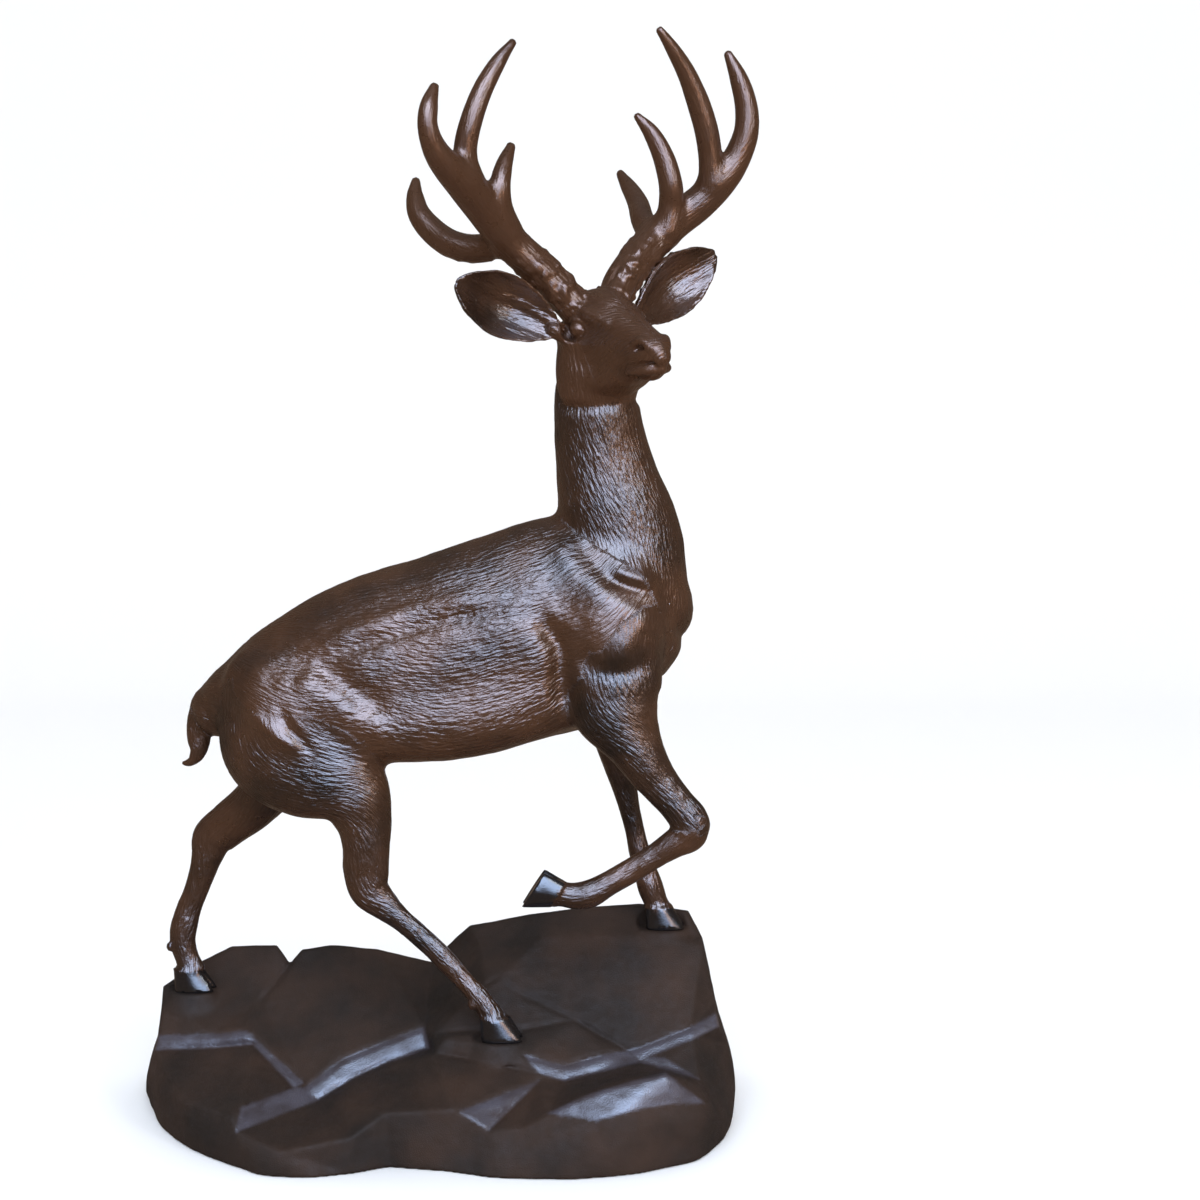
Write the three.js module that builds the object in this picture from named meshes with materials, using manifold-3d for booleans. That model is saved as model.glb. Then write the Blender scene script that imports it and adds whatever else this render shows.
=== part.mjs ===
// Life-size bronze stag striding over a boulder base, in two castings.
// Frame: +X towards the head end of the base, +Y to the stag's left, +Z up.
// The origin is the centre of the base's flat underside. Units are millimetres.
import * as THREE from 'three';
import { ConvexGeometry } from 'three/addons/geometries/ConvexGeometry.js';
import { mergeVertices } from 'three/addons/utils/BufferGeometryUtils.js';
import Module from 'manifold-3d';

const wasm = await Module();
wasm.setup();

// Base
const BASE_LENGTH = 1200;
const BASE_DEPTH = 578;
const NEAR_HIND_PAD = 182;
const FAR_HIND_PAD = 214;
const FAR_FORE_PAD = 340;
const PAD_MARGIN = 5;
const PAD_RIM = 4;
const PAD_FLARE = 45;
const HOOF_ROOM_HEIGHT = 130;
const ROOM_SIDES = 12;
const SEAT_GAP = 0.3;

// Stag
const SHOULDER_HEIGHT = 980;
const TRUNK_WIDTH = 280;
const NECK_THICKNESS = 176;
const HOOF_LENGTH = 78;
const HOOF_WIDTH = 50;
const HOOF_HEIGHT = 46;
const CLEFT_WIDTH = 5;
const EYE_RADIUS = 17;
const EAR_LENGTH = 246;
const EAR_WIDTH = 112;
const EAR_WALL = 11;
const ANTLER_SPREAD = 658;
const ANTLER_THICKNESS = 60;
const BURR_RADIUS = 38;

// The stations below are drawn at these sizes and grow with the sizes above.
const DRAWN_SHOULDER_HEIGHT = 980;
const DRAWN_TRUNK_WIDTH = 280;
const DRAWN_NECK_THICKNESS = 176;
const DRAWN_ANTLER_SPREAD = 658;
const DRAWN_ANTLER_THICKNESS = 60;
const grow = SHOULDER_HEIGHT / DRAWN_SHOULDER_HEIGHT;
const trunkGrow = TRUNK_WIDTH / DRAWN_TRUNK_WIDTH;
const neckGrow = NECK_THICKNESS / DRAWN_NECK_THICKNESS;
const antlerSpreadGrow = ANTLER_SPREAD / DRAWN_ANTLER_SPREAD;
const antlerThickGrow = ANTLER_THICKNESS / DRAWN_ANTLER_THICKNESS;

// How the head is held: turned towards the viewer's side and tipped to its right.
const HEAD_PLACE = new THREE.Vector3(335, -60, 1328);
const HEAD_TURN = THREE.MathUtils.degToRad(32);
const HEAD_ROLL = THREE.MathUtils.degToRad(7.7);

const ACROSS = new THREE.Vector3(0, 1, 0);
const JOIN_TOLERANCE = 0.05;
const WELD_STEP = 0.02;

// Makes a closed solid of a vertex list and a triangle list.
function solidOf(positions, triangles) {
  const mesh = new wasm.Mesh({
    numProp: 3,
    vertProperties: new Float32Array(positions),
    triVerts: new Uint32Array(triangles),
    tolerance: JOIN_TOLERANCE,
  });
  return new wasm.Manifold(mesh);
}

// Joins equal rings of points into a closed skin, with a point at each end.
function skinRings(rings, firstPole, lastPole) {
  const sides = rings[0].length;
  const points = [firstPole, ...rings.flat(), lastPole];
  const last = points.length - 1;
  const triangles = [];
  for (let j = 0; j < sides; j += 1) {
    const next = (j + 1) % sides;
    triangles.push(0, 1 + next, 1 + j);
    for (let i = 0; i < rings.length - 1; i += 1) {
      const here = 1 + i * sides;
      const above = here + sides;
      triangles.push(here + j, here + next, above + j);
      triangles.push(here + next, above + next, above + j);
    }
    const top = 1 + (rings.length - 1) * sides;
    triangles.push(last, top + j, top + next);
  }
  return solidOf(points.flatMap((p) => [p.x, p.y, p.z]), triangles);
}

// Superellipse: power 2 is an ellipse, and higher powers are boxier.
function roundedPower(value, power) {
  return Math.sign(value) * Math.abs(value) ** (2 / power);
}

// A limb: elliptic sections along a smooth curve through the stations. Each station
// is a centre, its half size in the limb's plane and its half size across it.
function limb(stations, { sides = 10, steps = 2, across = ACROSS, power = 2 } = {}) {
  const path = new THREE.CatmullRomCurve3(stations.map((s) => s.at), false, 'centripetal');
  const sizes = new THREE.CatmullRomCurve3(
    stations.map((s) => new THREE.Vector3(s.half, s.side, 0)), false, 'catmullrom', 0.5,
  );
  const count = (stations.length - 1) * steps;
  const rings = [];
  for (let i = 0; i <= count; i += 1) {
    const centre = path.getPoint(i / count);
    const size = sizes.getPoint(i / count);
    const along = path.getTangent(i / count);
    const normal = new THREE.Vector3().crossVectors(across, along).normalize();
    const side = new THREE.Vector3().crossVectors(along, normal);
    const ring = [];
    for (let j = 0; j < sides; j += 1) {
      const angle = (2 * Math.PI * j) / sides;
      ring.push(centre.clone()
        .addScaledVector(normal, size.x * roundedPower(Math.cos(angle), power))
        .addScaledVector(side, size.y * roundedPower(Math.sin(angle), power)));
    }
    rings.push(ring);
  }
  const crown = (end) => {
    const size = sizes.getPoint(end);
    const along = path.getTangent(end).multiplyScalar(0.4 * Math.min(size.x, size.y));
    return path.getPoint(end).addScaledVector(along, end === 0 ? -1 : 1);
  };
  return skinRings(rings, crown(0), crown(1));
}

function joinAll(solids) {
  return solids.reduce((whole, next) => whole.add(next));
}

// Fills the tiny pockets that stay between joined shapes: a pocket's volume is negative.
function withoutPockets(solid) {
  return joinAll(solid.decompose().filter((shell) => shell.volume() > 0));
}

// Turns a solid into a geometry, and welds points that lie closer than WELD_STEP.
function toGeometry(solid) {
  const { vertProperties, triVerts } = withoutPockets(solid).getMesh();
  const loose = new THREE.BufferGeometry();
  loose.setAttribute('position', new THREE.BufferAttribute(vertProperties, 3));
  loose.setIndex(new THREE.BufferAttribute(triVerts, 1));
  const geometry = mergeVertices(loose, WELD_STEP);
  const index = [];
  for (let i = 0; i < geometry.index.count; i += 3) {
    const [a, b, c] = [0, 1, 2].map((k) => geometry.index.getX(i + k));
    if (a !== b && b !== c && c !== a) index.push(a, b, c);
  }
  geometry.setIndex(index);
  geometry.computeVertexNormals();
  return geometry;
}

// A place on the trunk side of the stag, above the lowest sole.
function bodyPoint(x, y, rise) {
  return new THREE.Vector3(x * grow, y * grow * trunkGrow, NEAR_HIND_PAD + rise * grow);
}

function trunk() {
  const middle = 15;
  const rows = [
    [-404, 605, 50, 45], [-360, 627, 74, 75], [-297, 642, 115, 105], [-202, 662, 152, 120],
    [-79, 693, 177, 130], [44, 712, 196, 138], [166, 748, 199, 140], [279, 780, 200, 135],
    [373, 793, 174, 116], [445, 796, 112, 86], [480, 803, 48, 44],
  ];
  return limb(rows.map(([x, rise, half, side]) => ({
    at: bodyPoint(x, middle, rise),
    half: half * grow,
    side: side * grow * trunkGrow,
  })), { sides: 20 });
}

function neck() {
  const rows = [
    [386, 10, 815, 108, 88], [374, 5, 894, 111, 90], [357, 0, 969, 109, 84],
    [340, -8, 1043, 96, 76], [327, -18, 1117, 85, 69], [320, -28, 1181, 78, 65],
    [317, -38, 1244, 73, 61], [319, -42, 1300, 68, 55],
  ];
  return limb(rows.map(([x, y, rise, half, side]) => ({
    at: bodyPoint(x, y, rise),
    half: half * grow,
    side: side * grow * neckGrow,
  })), { sides: 16 });
}

// Legs. Each goes down from the trunk to the top of its hoof. A station's height is its
// share of the way up from the sole to the leg's root, so a leg follows its own pad.
const LEGS = {
  farFore: {
    pad: FAR_FORE_PAD, rootRise: 740, hoof: [456, 115], stations: [
      [330, 60, 1.00, 85, 48], [350, 88, 0.80, 64, 42], [360, 104, 0.67, 50, 33],
      [369, 112, 0.54, 31, 22], [379, 115, 0.45, 22, 17], [391, 115, 0.36, 19, 14],
      [401, 115, 0.28, 20, 15], [415, 115, 0.195, 22, 16], [426, 115, 0.14, 24, 18],
      [437, 115, 0.085, 23, 17], [446, 115, 0.05, 28, 20],
    ],
  },
  nearHind: {
    pad: NEAR_HIND_PAD, rootRise: 650, hoof: [144, -75], stations: [
      [-292, -25, 1.00, 100, 62], [-250, -48, 0.89, 138, 66], [-180, -62, 0.79, 117, 58],
      [-130, -70, 0.71, 74, 44], [-111, -73, 0.64, 53, 31], [-107, -75, 0.57, 43, 25],
      [-108, -75, 0.50, 42, 23], [-101, -75, 0.44, 37, 21], [-71, -75, 0.39, 28, 18],
      [-36, -75, 0.345, 21, 15], [19, -75, 0.265, 21, 13], [72, -75, 0.175, 19, 13],
      [98, -75, 0.13, 20, 16], [112, -75, 0.10, 21, 17], [126, -75, 0.065, 24, 19],
    ],
  },
  farHind: {
    pad: FAR_HIND_PAD, rootRise: 640, hoof: [-474, 115], stations: [
      [-245, 48, 1.00, 88, 60], [-262, 62, 0.84, 76, 56], [-294, 80, 0.72, 55, 46],
      [-345, 100, 0.625, 48, 34], [-398, 110, 0.555, 43, 26], [-434, 115, 0.505, 40, 22],
      [-447, 115, 0.445, 30, 18], [-456, 115, 0.395, 26, 16], [-470, 115, 0.33, 24, 14],
      [-486, 115, 0.265, 24, 14], [-497, 115, 0.20, 26, 17], [-498, 115, 0.155, 25, 17],
      [-490, 115, 0.105, 23, 17], [-482, 115, 0.065, 27, 20],
    ],
  },
};

function standingLeg({ pad, rootRise, hoof, stations }) {
  const sole = pad + SEAT_GAP;
  const root = NEAR_HIND_PAD + rootRise * grow;
  const solids = [limb(stations.map(([x, y, share, half, side]) => ({
    at: new THREE.Vector3(x * grow, y * grow * trunkGrow, sole + share * (root - sole)),
    half: half * grow,
    side: side * grow,
  })))];
  const [hoofX, hoofY] = hoof;
  solids.push(standingHoof(new THREE.Vector3(hoofX * grow, hoofY * grow * trunkGrow, sole)));
  return joinAll(solids);
}

// One toe of a cloven hoof: flat rings, wide and pointed at the sole, that lean back
// as they rise. Toes point along +X, and the sole is the flat end.
function toe(place, side) {
  const sides = 12;
  const levels = [0, 0.45, 1];
  const ringAt = (level) => {
    const shrink = 1 - 0.32 * level;
    const setBack = -0.2 * HOOF_LENGTH * level;
    const ring = [];
    for (let j = 0; j < sides; j += 1) {
      const angle = (2 * Math.PI * j) / sides;
      const point = 1 - 0.42 * Math.max(0, Math.cos(angle)) ** 2;
      const x = setBack + 0.5 * HOOF_LENGTH * shrink * Math.cos(angle);
      const y = 0.25 * (HOOF_WIDTH - CLEFT_WIDTH) * (2 - shrink) * Math.sin(angle) * point;
      const centreY = side * 0.25 * (HOOF_WIDTH + CLEFT_WIDTH) * (1 - 0.45 * level);
      ring.push(new THREE.Vector3(x, centreY + y, HOOF_HEIGHT * level).add(place));
    }
    return ring;
  };
  const rings = levels.map(ringAt);
  const centreOf = (ring) => ring.reduce((sum, p) => sum.add(p), new THREE.Vector3())
    .divideScalar(sides);
  return skinRings(rings, centreOf(rings[0]), centreOf(rings.at(-1)));
}

function standingHoof(place) {
  return toe(place, 1).add(toe(place, -1));
}

// The raised foreleg: bent at the knee, with the foot folded back under it.
function raisedLeg() {
  const upper = [
    [326, -30, 869, 66, 52], [342, -52, 790, 92, 62], [346, -66, 708, 94, 56],
    [353, -74, 634, 85, 46], [390, -77, 560, 53, 36], [424, -78, 503, 40, 28],
    [462, -78, 456, 34, 25], [488, -78, 424, 36, 24], [500, -78, 402, 31, 22],
  ];
  const lower = [
    [502, -78, 418, 24, 22], [492, -78, 393, 32, 22], [462, -78, 374, 27, 19],
    [428, -78, 352, 23, 16], [382, -78, 323, 23, 15], [341, -78, 299, 23, 17],
    [309, -78, 281, 26, 20], [283, -78, 276, 25, 19], [258, -78, 279, 23, 18],
    [244, -78, 281, 26, 20],
  ];
  const part = (rows) => limb(rows.map(([x, y, rise, half, side]) => ({
    at: bodyPoint(x, y, rise),
    half: half * grow,
    side: side * grow,
  })));
  const hoof = new THREE.Matrix4()
    .makeTranslation(bodyPoint(221, -78, 278))
    .multiply(new THREE.Matrix4().makeRotationY(THREE.MathUtils.degToRad(123)))
    .multiply(new THREE.Matrix4().makeTranslation(0, 0, -0.5 * HOOF_HEIGHT));
  const foot = standingHoof(new THREE.Vector3()).transform(hoof.toArray());
  return joinAll([part(upper), part(lower), foot]);
}

function tail() {
  const rows = [
    [-395, 640, 24, 18], [-418, 626, 23, 17], [-434, 592, 20, 15], [-433, 555, 22, 14],
    [-435, 530, 16, 11], [-448, 511, 9, 7], [-464, 507, 4, 4],
  ];
  return limb(rows.map(([x, rise, half, side]) => ({
    at: bodyPoint(x, 15, rise),
    half: half * grow,
    side: side * grow,
  })), { sides: 10 });
}

// The head's own directions: forward along the nose, out to its left, and up.
const headForward = new THREE.Vector3(Math.sin(HEAD_TURN), -Math.cos(HEAD_TURN), 0);
const levelLeft = new THREE.Vector3(Math.cos(HEAD_TURN), Math.sin(HEAD_TURN), 0);
const headLeft = levelLeft.clone().multiplyScalar(Math.cos(HEAD_ROLL))
  .addScaledVector(new THREE.Vector3(0, 0, 1), Math.sin(HEAD_ROLL));
const headUp = new THREE.Vector3().crossVectors(headForward, headLeft);

function headPoint(left, forward, up) {
  return bodyPoint(HEAD_PLACE.x, HEAD_PLACE.y, HEAD_PLACE.z)
    .addScaledVector(headLeft, left * grow)
    .addScaledVector(headForward, forward * grow)
    .addScaledVector(headUp, up * grow);
}

// Skull and muzzle: forward, top, bottom and half breadth at each station.
function skull() {
  const rows = [
    [-78, 18, -48, 38], [-40, 50, -92, 55], [0, 56, -104, 60], [40, 36, -100, 52],
    [80, 10, -98, 40], [120, -14, -100, 31], [150, -30, -100, 28], [168, -42, -94, 22],
    [178, -52, -84, 14],
  ];
  return limb(rows.map(([forward, top, bottom, half]) => ({
    at: headPoint(0, forward, 0.5 * (top + bottom)),
    half: 0.5 * (top - bottom) * grow,
    side: half * grow,
  })), { sides: 14, across: headLeft, power: 2.3 });
}

// Eyeball, standing a little proud of the skull.
function eye(side) {
  const place = headPoint(side * 54, 6, -2);
  const radius = EYE_RADIUS * grow;
  const around = 12;
  const rows = 5;
  const rings = [];
  for (let i = 1; i <= rows; i += 1) {
    const polar = Math.PI * (1 - i / (rows + 1));
    const ring = [];
    for (let j = 0; j < around; j += 1) {
      const angle = (2 * Math.PI * j) / around;
      ring.push(new THREE.Vector3(
        radius * Math.sin(polar) * Math.cos(angle),
        radius * Math.sin(polar) * Math.sin(angle),
        radius * Math.cos(polar),
      ).add(place));
    }
    rings.push(ring);
  }
  const poleOf = (sign) => place.clone().add(new THREE.Vector3(0, 0, sign * radius));
  return skinRings(rings, poleOf(-1), poleOf(1));
}

// How each ear is set: its root and the way its tip points, in the head's directions.
const EARS = {
  right: { side: -1, root: [58, -22, -24], tip: [268, -26, 86] },
  left: { side: 1, root: [60, -22, -6], tip: [275, -26, 112] },
};

// A leaf-shaped ear, cupped towards the front: its section is an arc with a wall.
function ear({ side, root, tip }) {
  const [from, to] = [root, tip].map(([out, forward, up]) => headPoint(side * out, forward, up));
  const along = to.sub(from).normalize();
  const facing = headForward.clone()
    .addScaledVector(headUp, -0.15)
    .addScaledVector(along, -headForward.dot(along))
    .normalize();
  const wide = new THREE.Vector3().crossVectors(facing, along);
  const steps = 9;
  const spans = 6;
  const rings = [];
  for (let i = 0; i <= steps; i += 1) {
    const share = 0.02 + (0.96 * i) / steps;
    const leaf = Math.sin(Math.PI * share ** 0.9) ** 0.7;
    const half = 0.5 * EAR_WIDTH * grow * Math.max(leaf, 0.3 * (1 - share));
    const cup = 0.75 * half * Math.sin(Math.PI * share) ** 0.6;
    const wall = 0.5 * EAR_WALL * grow * Math.min(1, 0.35 + leaf);
    const centre = from.clone().addScaledVector(along, share * EAR_LENGTH * grow);
    const place = (s, offset) => centre.clone()
      .addScaledVector(wide, half * s)
      .addScaledVector(facing, -cup * (1 - s * s) + offset);
    const back = [];
    const front = [];
    for (let j = 0; j <= spans; j += 1) {
      const s = -1 + (2 * j) / spans;
      back.push(place(s, -wall));
      front.push(place(-s, wall));
    }
    rings.push([...front, ...back]);
  }
  const middle = (ring) => ring.reduce((sum, p) => sum.add(p), new THREE.Vector3())
    .divideScalar(ring.length);
  return skinRings(rings, middle(rings[0]), middle(rings.at(-1)));
}

// Antlers: a bowed beam with a rear tine, an inner tine and a long tine that carries
// on upwards. Stations are out, forward, up and radius, in the head's directions.
// The two differ a little, as real ones do: the left one bows further out.
const ANTLERS = {
  right: {
    side: -1,
    beam: [
      [34, -22, 14, 30], [60, -30, 54, 31], [84, -38, 89, 31], [111, -45, 120, 31],
      [140, -50, 152, 31], [173, -44, 188, 32], [212, -25, 228, 33], [250, 0, 259, 32],
      [286, 20, 284, 27], [316, 36, 313, 21], [329, 45, 350, 17], [322, 45, 383, 15],
      [306, 40, 408, 10],
    ],
    rear: [
      [147, -58, 163, 23], [181, -100, 155, 25], [210, -137, 166, 25], [229, -170, 191, 24],
      [242, -197, 227, 21], [238, -216, 261, 17], [227, -228, 286, 11],
    ],
    inner: [
      [158, -35, 182, 22], [174, -20, 216, 21], [178, -8, 249, 19],
      [163, -12, 285, 16], [141, -20, 313, 11],
    ],
    long: [
      [245, 5, 268, 22], [249, 16, 313, 20], [238, 28, 357, 19],
      [212, 35, 407, 17], [180, 41, 450, 14], [153, 45, 476, 9],
    ],
  },
  left: {
    side: 1,
    beam: [
      [34, -22, 18, 30], [52, -30, 51, 31], [84, -38, 84, 32], [124, -45, 116, 33],
      [165, -48, 143, 33], [205, -40, 170, 33], [248, -15, 200, 32], [284, 10, 235, 30],
      [311, 28, 272, 26], [327, 42, 315, 23], [330, 46, 361, 21], [320, 45, 408, 18],
      [306, 40, 450, 11],
    ],
    rear: [
      [158, -55, 145, 23], [173, -100, 181, 22], [200, -150, 215, 20],
      [215, -195, 248, 17], [217, -225, 276, 11],
    ],
    inner: [
      [180, -30, 160, 25], [185, -20, 199, 23], [181, -8, 234, 22],
      [174, -11, 283, 20], [158, -18, 326, 16], [137, -25, 355, 10],
    ],
    long: [
      [262, 8, 235, 24], [258, 18, 280, 22], [249, 26, 325, 22], [233, 31, 374, 21],
      [211, 37, 421, 18], [183, 43, 461, 15], [157, 46, 492, 9],
    ],
  },
};

function antler({ side, beam, ...tines }) {
  const shape = (rows) => limb(rows.map(([out, forward, up, radius]) => ({
    at: headPoint(side * out * antlerSpreadGrow, forward, up),
    half: radius * grow * antlerThickGrow,
    side: radius * grow * antlerThickGrow,
  })), { sides: 8, across: headForward });
  const burrAt = (out, up) => ({
    at: headPoint(side * out * antlerSpreadGrow, -31, up),
    half: BURR_RADIUS * grow,
    side: BURR_RADIUS * grow,
  });
  const burr = limb([burrAt(58, 57), burrAt(66, 68)], { steps: 1, across: headForward });
  return joinAll([shape(beam), burr, ...Object.values(tines).map(shape)]);
}

function makeStag() {
  return joinAll([
    trunk(), neck(), tail(), skull(),
    ...Object.values(LEGS).map(standingLeg), raisedLeg(),
    eye(-1), eye(1), ...Object.values(EARS).map(ear),
    ...Object.values(ANTLERS).map(antler),
  ]);
}

// One boulder: an eight-sided block with battered sides and a tilted top. Its centre
// and size are shares of the base, its top is a height, and its falls are slopes.
function boulder({ x, y, length, depth, top, turn = 0, fallX = 0, fallY = 0, batter = 0.8 }) {
  const cut = 0.62;
  const corners = [[1, cut], [cut, 1], [-cut, 1], [-1, cut], [-1, -cut], [-cut, -1], [cut, -1], [1, -cut]];
  const angle = THREE.MathUtils.degToRad(turn);
  const points = [];
  for (const [level, size] of [[0, 1], [0.75, 0.5 * (1 + batter)], [1, batter]]) {
    for (const [cornerX, cornerY] of corners) {
      const alongX = 0.5 * length * BASE_LENGTH * cornerX * size;
      const alongY = 0.5 * depth * BASE_DEPTH * cornerY * size;
      const fall = level * (fallX * alongX + fallY * alongY);
      points.push(new THREE.Vector3(
        x * BASE_LENGTH + alongX * Math.cos(angle) - alongY * Math.sin(angle),
        y * BASE_DEPTH + alongX * Math.sin(angle) + alongY * Math.cos(angle),
        level === 0 ? 0 : level * top + fall,
      ));
    }
  }
  return hullSolid(points);
}

function hullSolid(points) {
  const hull = new ConvexGeometry(points);
  const position = hull.getAttribute('position');
  const unique = [];
  const triangles = [];
  for (let i = 0; i < position.count; i += 1) {
    const point = new THREE.Vector3().fromBufferAttribute(position, i);
    let index = unique.findIndex((other) => other.distanceToSquared(point) < 1e-6);
    if (index < 0) {
      index = unique.length;
      unique.push(point);
    }
    triangles.push(index);
  }
  return solidOf(unique.flatMap((p) => [p.x, p.y, p.z]), triangles);
}

const BOULDERS = [
  { x: 0, y: 0, length: 0.88, depth: 0.8, top: 70, batter: 0.95 },
  { x: -0.36, y: 0.24, length: 0.26, depth: 0.52, top: 238, fallX: 0.08, fallY: 0.3, batter: 0.86 },
  { x: -0.08, y: 0.22, length: 0.36, depth: 0.56, top: 208, fallX: -0.15, fallY: 0.34, batter: 0.9 },
  { x: 0.25, y: 0.24, length: 0.46, depth: 0.54, top: 314, fallX: 0.04, fallY: 0.3, batter: 0.88 },
  { x: -0.36, y: -0.02, length: 0.34, depth: 0.56, top: 138, turn: -14, fallX: 0.14, batter: 0.88 },
  { x: -0.22, y: -0.26, length: 0.30, depth: 0.48, top: 84, turn: -8, fallX: 0.14, fallY: 0.15, batter: 0.86 },
  { x: -0.04, y: -0.16, length: 0.30, depth: 0.52, top: 118, turn: 6, fallX: 0.08, fallY: 0.4, batter: 0.86 },
  { x: 0.12, y: -0.28, length: 0.22, depth: 0.42, top: 88, fallY: 0.3, batter: 0.84 },
  { x: 0.30, y: -0.27, length: 0.38, depth: 0.48, top: 126, turn: 7, fallY: 0.16, fallX: 0.05, batter: 0.82 },
  { x: 0.37, y: 0.04, length: 0.30, depth: 0.66, top: 200, turn: -6, fallY: 0.3, batter: 0.84 },
];

// The outline of the base on the floor, as shares of its length and depth.
const FOOTPRINT = [
  [-0.50, 0.27], [-0.46, 0.05], [-0.42, -0.13], [-0.32, -0.34], [-0.21, -0.485],
  [0.05, -0.49], [0.257, -0.5], [0.35, -0.44], [0.43, -0.355], [0.48, -0.19],
  [0.495, 0.0], [0.5, 0.19], [0.466, 0.43], [0.34, 0.5], [-0.33, 0.5], [-0.46, 0.42],
];
// Levels of the envelope: share of its height, size of the outline, and shift to +X.
const ENVELOPE = [[0, 0.985, 0], [0.2, 1, 0], [1, 0.76, 0.045]];
const ENVELOPE_HEIGHT = 400;

// The shape that all boulders stay inside: it swells a little, then draws in upwards.
function rockEnvelope() {
  const outline = ([level, size, shift]) => FOOTPRINT.map(([x, y]) => new THREE.Vector3(
    (x * size + shift) * BASE_LENGTH,
    y * size * BASE_DEPTH,
    level * ENVELOPE_HEIGHT,
  ));
  return hullSolid(ENVELOPE.flatMap(outline));
}

// The rock meets each standing hoof on a level pad, with room cut above the pad.
function makeRock() {
  const feet = Object.values(LEGS).map(({ pad, hoof }) => ({
    pad, x: hoof[0] * grow, y: hoof[1] * grow * trunkGrow,
  }));
  const radius = 0.5 * HOOF_LENGTH + PAD_MARGIN;
  const pads = feet.map(({ pad, x, y }) => boulder({
    x: x / BASE_LENGTH,
    y: y / BASE_DEPTH,
    length: 2 * (radius + PAD_FLARE) / BASE_LENGTH,
    depth: 2 * (radius + PAD_FLARE) / BASE_DEPTH,
    top: pad,
    batter: (radius + PAD_RIM) / (radius + PAD_FLARE),
  }));
  const rock = joinAll([joinAll(BOULDERS.map(boulder)).intersect(rockEnvelope()), ...pads]);
  return feet.reduce((shape, { pad, x, y }) => {
    const room = new THREE.Matrix4().makeTranslation(x, y, pad);
    const ringAt = (height) => Array.from({ length: ROOM_SIDES }, (_, j) => {
      const angle = (2 * Math.PI * j) / ROOM_SIDES;
      return new THREE.Vector3(radius * Math.cos(angle), radius * Math.sin(angle), height);
    });
    const drum = skinRings(
      [ringAt(0), ringAt(HOOF_ROOM_HEIGHT)],
      new THREE.Vector3(0, 0, 0),
      new THREE.Vector3(0, 0, HOOF_ROOM_HEIGHT),
    );
    return shape.subtract(drum.transform(room.toArray()));
  }, rock);
}

const stagMesh = new THREE.Mesh(
  toGeometry(makeStag()),
  new THREE.MeshStandardMaterial({ color: 0x3a2418, roughness: 0.34, metalness: 1 }),
);
stagMesh.name = 'stag';

const rockMesh = new THREE.Mesh(
  toGeometry(makeRock()),
  new THREE.MeshStandardMaterial({ color: 0x33241a, roughness: 0.4, metalness: 1 }),
);
rockMesh.name = 'rock_base';

const deerStatue = new THREE.Group();
deerStatue.add(stagMesh, rockMesh);

export default deerStatue;
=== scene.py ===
"""Life-size bronze stag striding over a boulder base, modelled as two castings.

The stag is built like clay: tubes and pads are blended in one distance field, the field
is turned into a skin, and muscles, creases and chased hair are worked into that skin.
The rock is a set of plain faces, laid out in the picture's plane and stood up in space.
Tables are in millimetres, meshes in metres.
"""
import logging
import math
from dataclasses import dataclass
from enum import Enum
from typing import Iterable, Sequence

import bpy
import numpy as np
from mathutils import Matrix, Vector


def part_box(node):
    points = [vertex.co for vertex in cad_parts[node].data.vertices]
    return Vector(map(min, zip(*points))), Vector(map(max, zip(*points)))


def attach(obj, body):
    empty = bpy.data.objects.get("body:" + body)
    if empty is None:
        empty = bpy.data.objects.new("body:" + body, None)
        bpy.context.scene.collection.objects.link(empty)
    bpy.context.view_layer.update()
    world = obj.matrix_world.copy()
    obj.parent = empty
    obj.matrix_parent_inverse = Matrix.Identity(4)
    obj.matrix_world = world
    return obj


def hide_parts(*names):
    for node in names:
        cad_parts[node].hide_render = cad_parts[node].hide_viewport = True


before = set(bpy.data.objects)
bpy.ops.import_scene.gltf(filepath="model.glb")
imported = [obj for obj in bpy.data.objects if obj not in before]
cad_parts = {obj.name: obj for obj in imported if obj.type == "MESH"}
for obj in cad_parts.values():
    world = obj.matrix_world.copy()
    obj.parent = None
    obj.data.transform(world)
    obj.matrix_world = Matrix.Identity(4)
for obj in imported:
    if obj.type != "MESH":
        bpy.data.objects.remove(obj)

import openvdb
from mathutils import Vector
from mathutils.geometry import delaunay_2d_cdt

Array = np.ndarray
Piece = bpy.types.Object
Tree = bpy.types.NodeTree
Socket = bpy.types.NodeSocket
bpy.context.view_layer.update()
MM = 0.001
LOG = logging.getLogger("stag")

# Height of the lowest pad, place of the trunk's middle plane and gap under a sole, in mm
LOWEST_PAD = 182.0
BODY_MIDDLE = 15.0
SOLE_GAP = 0.3

# Samples of a limb's path for each knot, its least half size in mm, and rings of a dome
SAMPLES_PER_KNOT = 9
LEAST_SIZE = 2.0
DOME_RINGS = 4

# Cells of the chased strokes along and around a limb, coarse and fine, and their height, in mm
STROKE_CELLS = (44.0, 8.5)
FINE_CELLS = (26.0, 5.5)
STROKE_DEPTH = 0.42

# How far past a limb points are looked for, in mm, and how many are compared at once
SURVEY_MARGIN = 30.0
SURVEY_CHUNK = 40000

# Depth of the rock's cracks in mm, and their half width in pixels of the picture
CRACK_DEPTH = 6.0
CRACK_WIDTH = 2.6


class Region(Enum):
    """What a stretch of skin is, which sets its relief and its finish."""

    TRUNK = 0
    NECK = 1
    LEG = 2
    SHANK = 3
    TAIL = 4
    HEAD = 5
    EAR = 6
    ANTLER = 7
    HOOF = 8


# Height of the chased strokes in the mesh, as a share of their full height
STROKE_HEIGHT = {
    Region.TRUNK: 1.0, Region.NECK: 1.05, Region.TAIL: 1.1,
    Region.LEG: 0.75, Region.SHANK: 0.45, Region.HEAD: 0.32,
}

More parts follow.
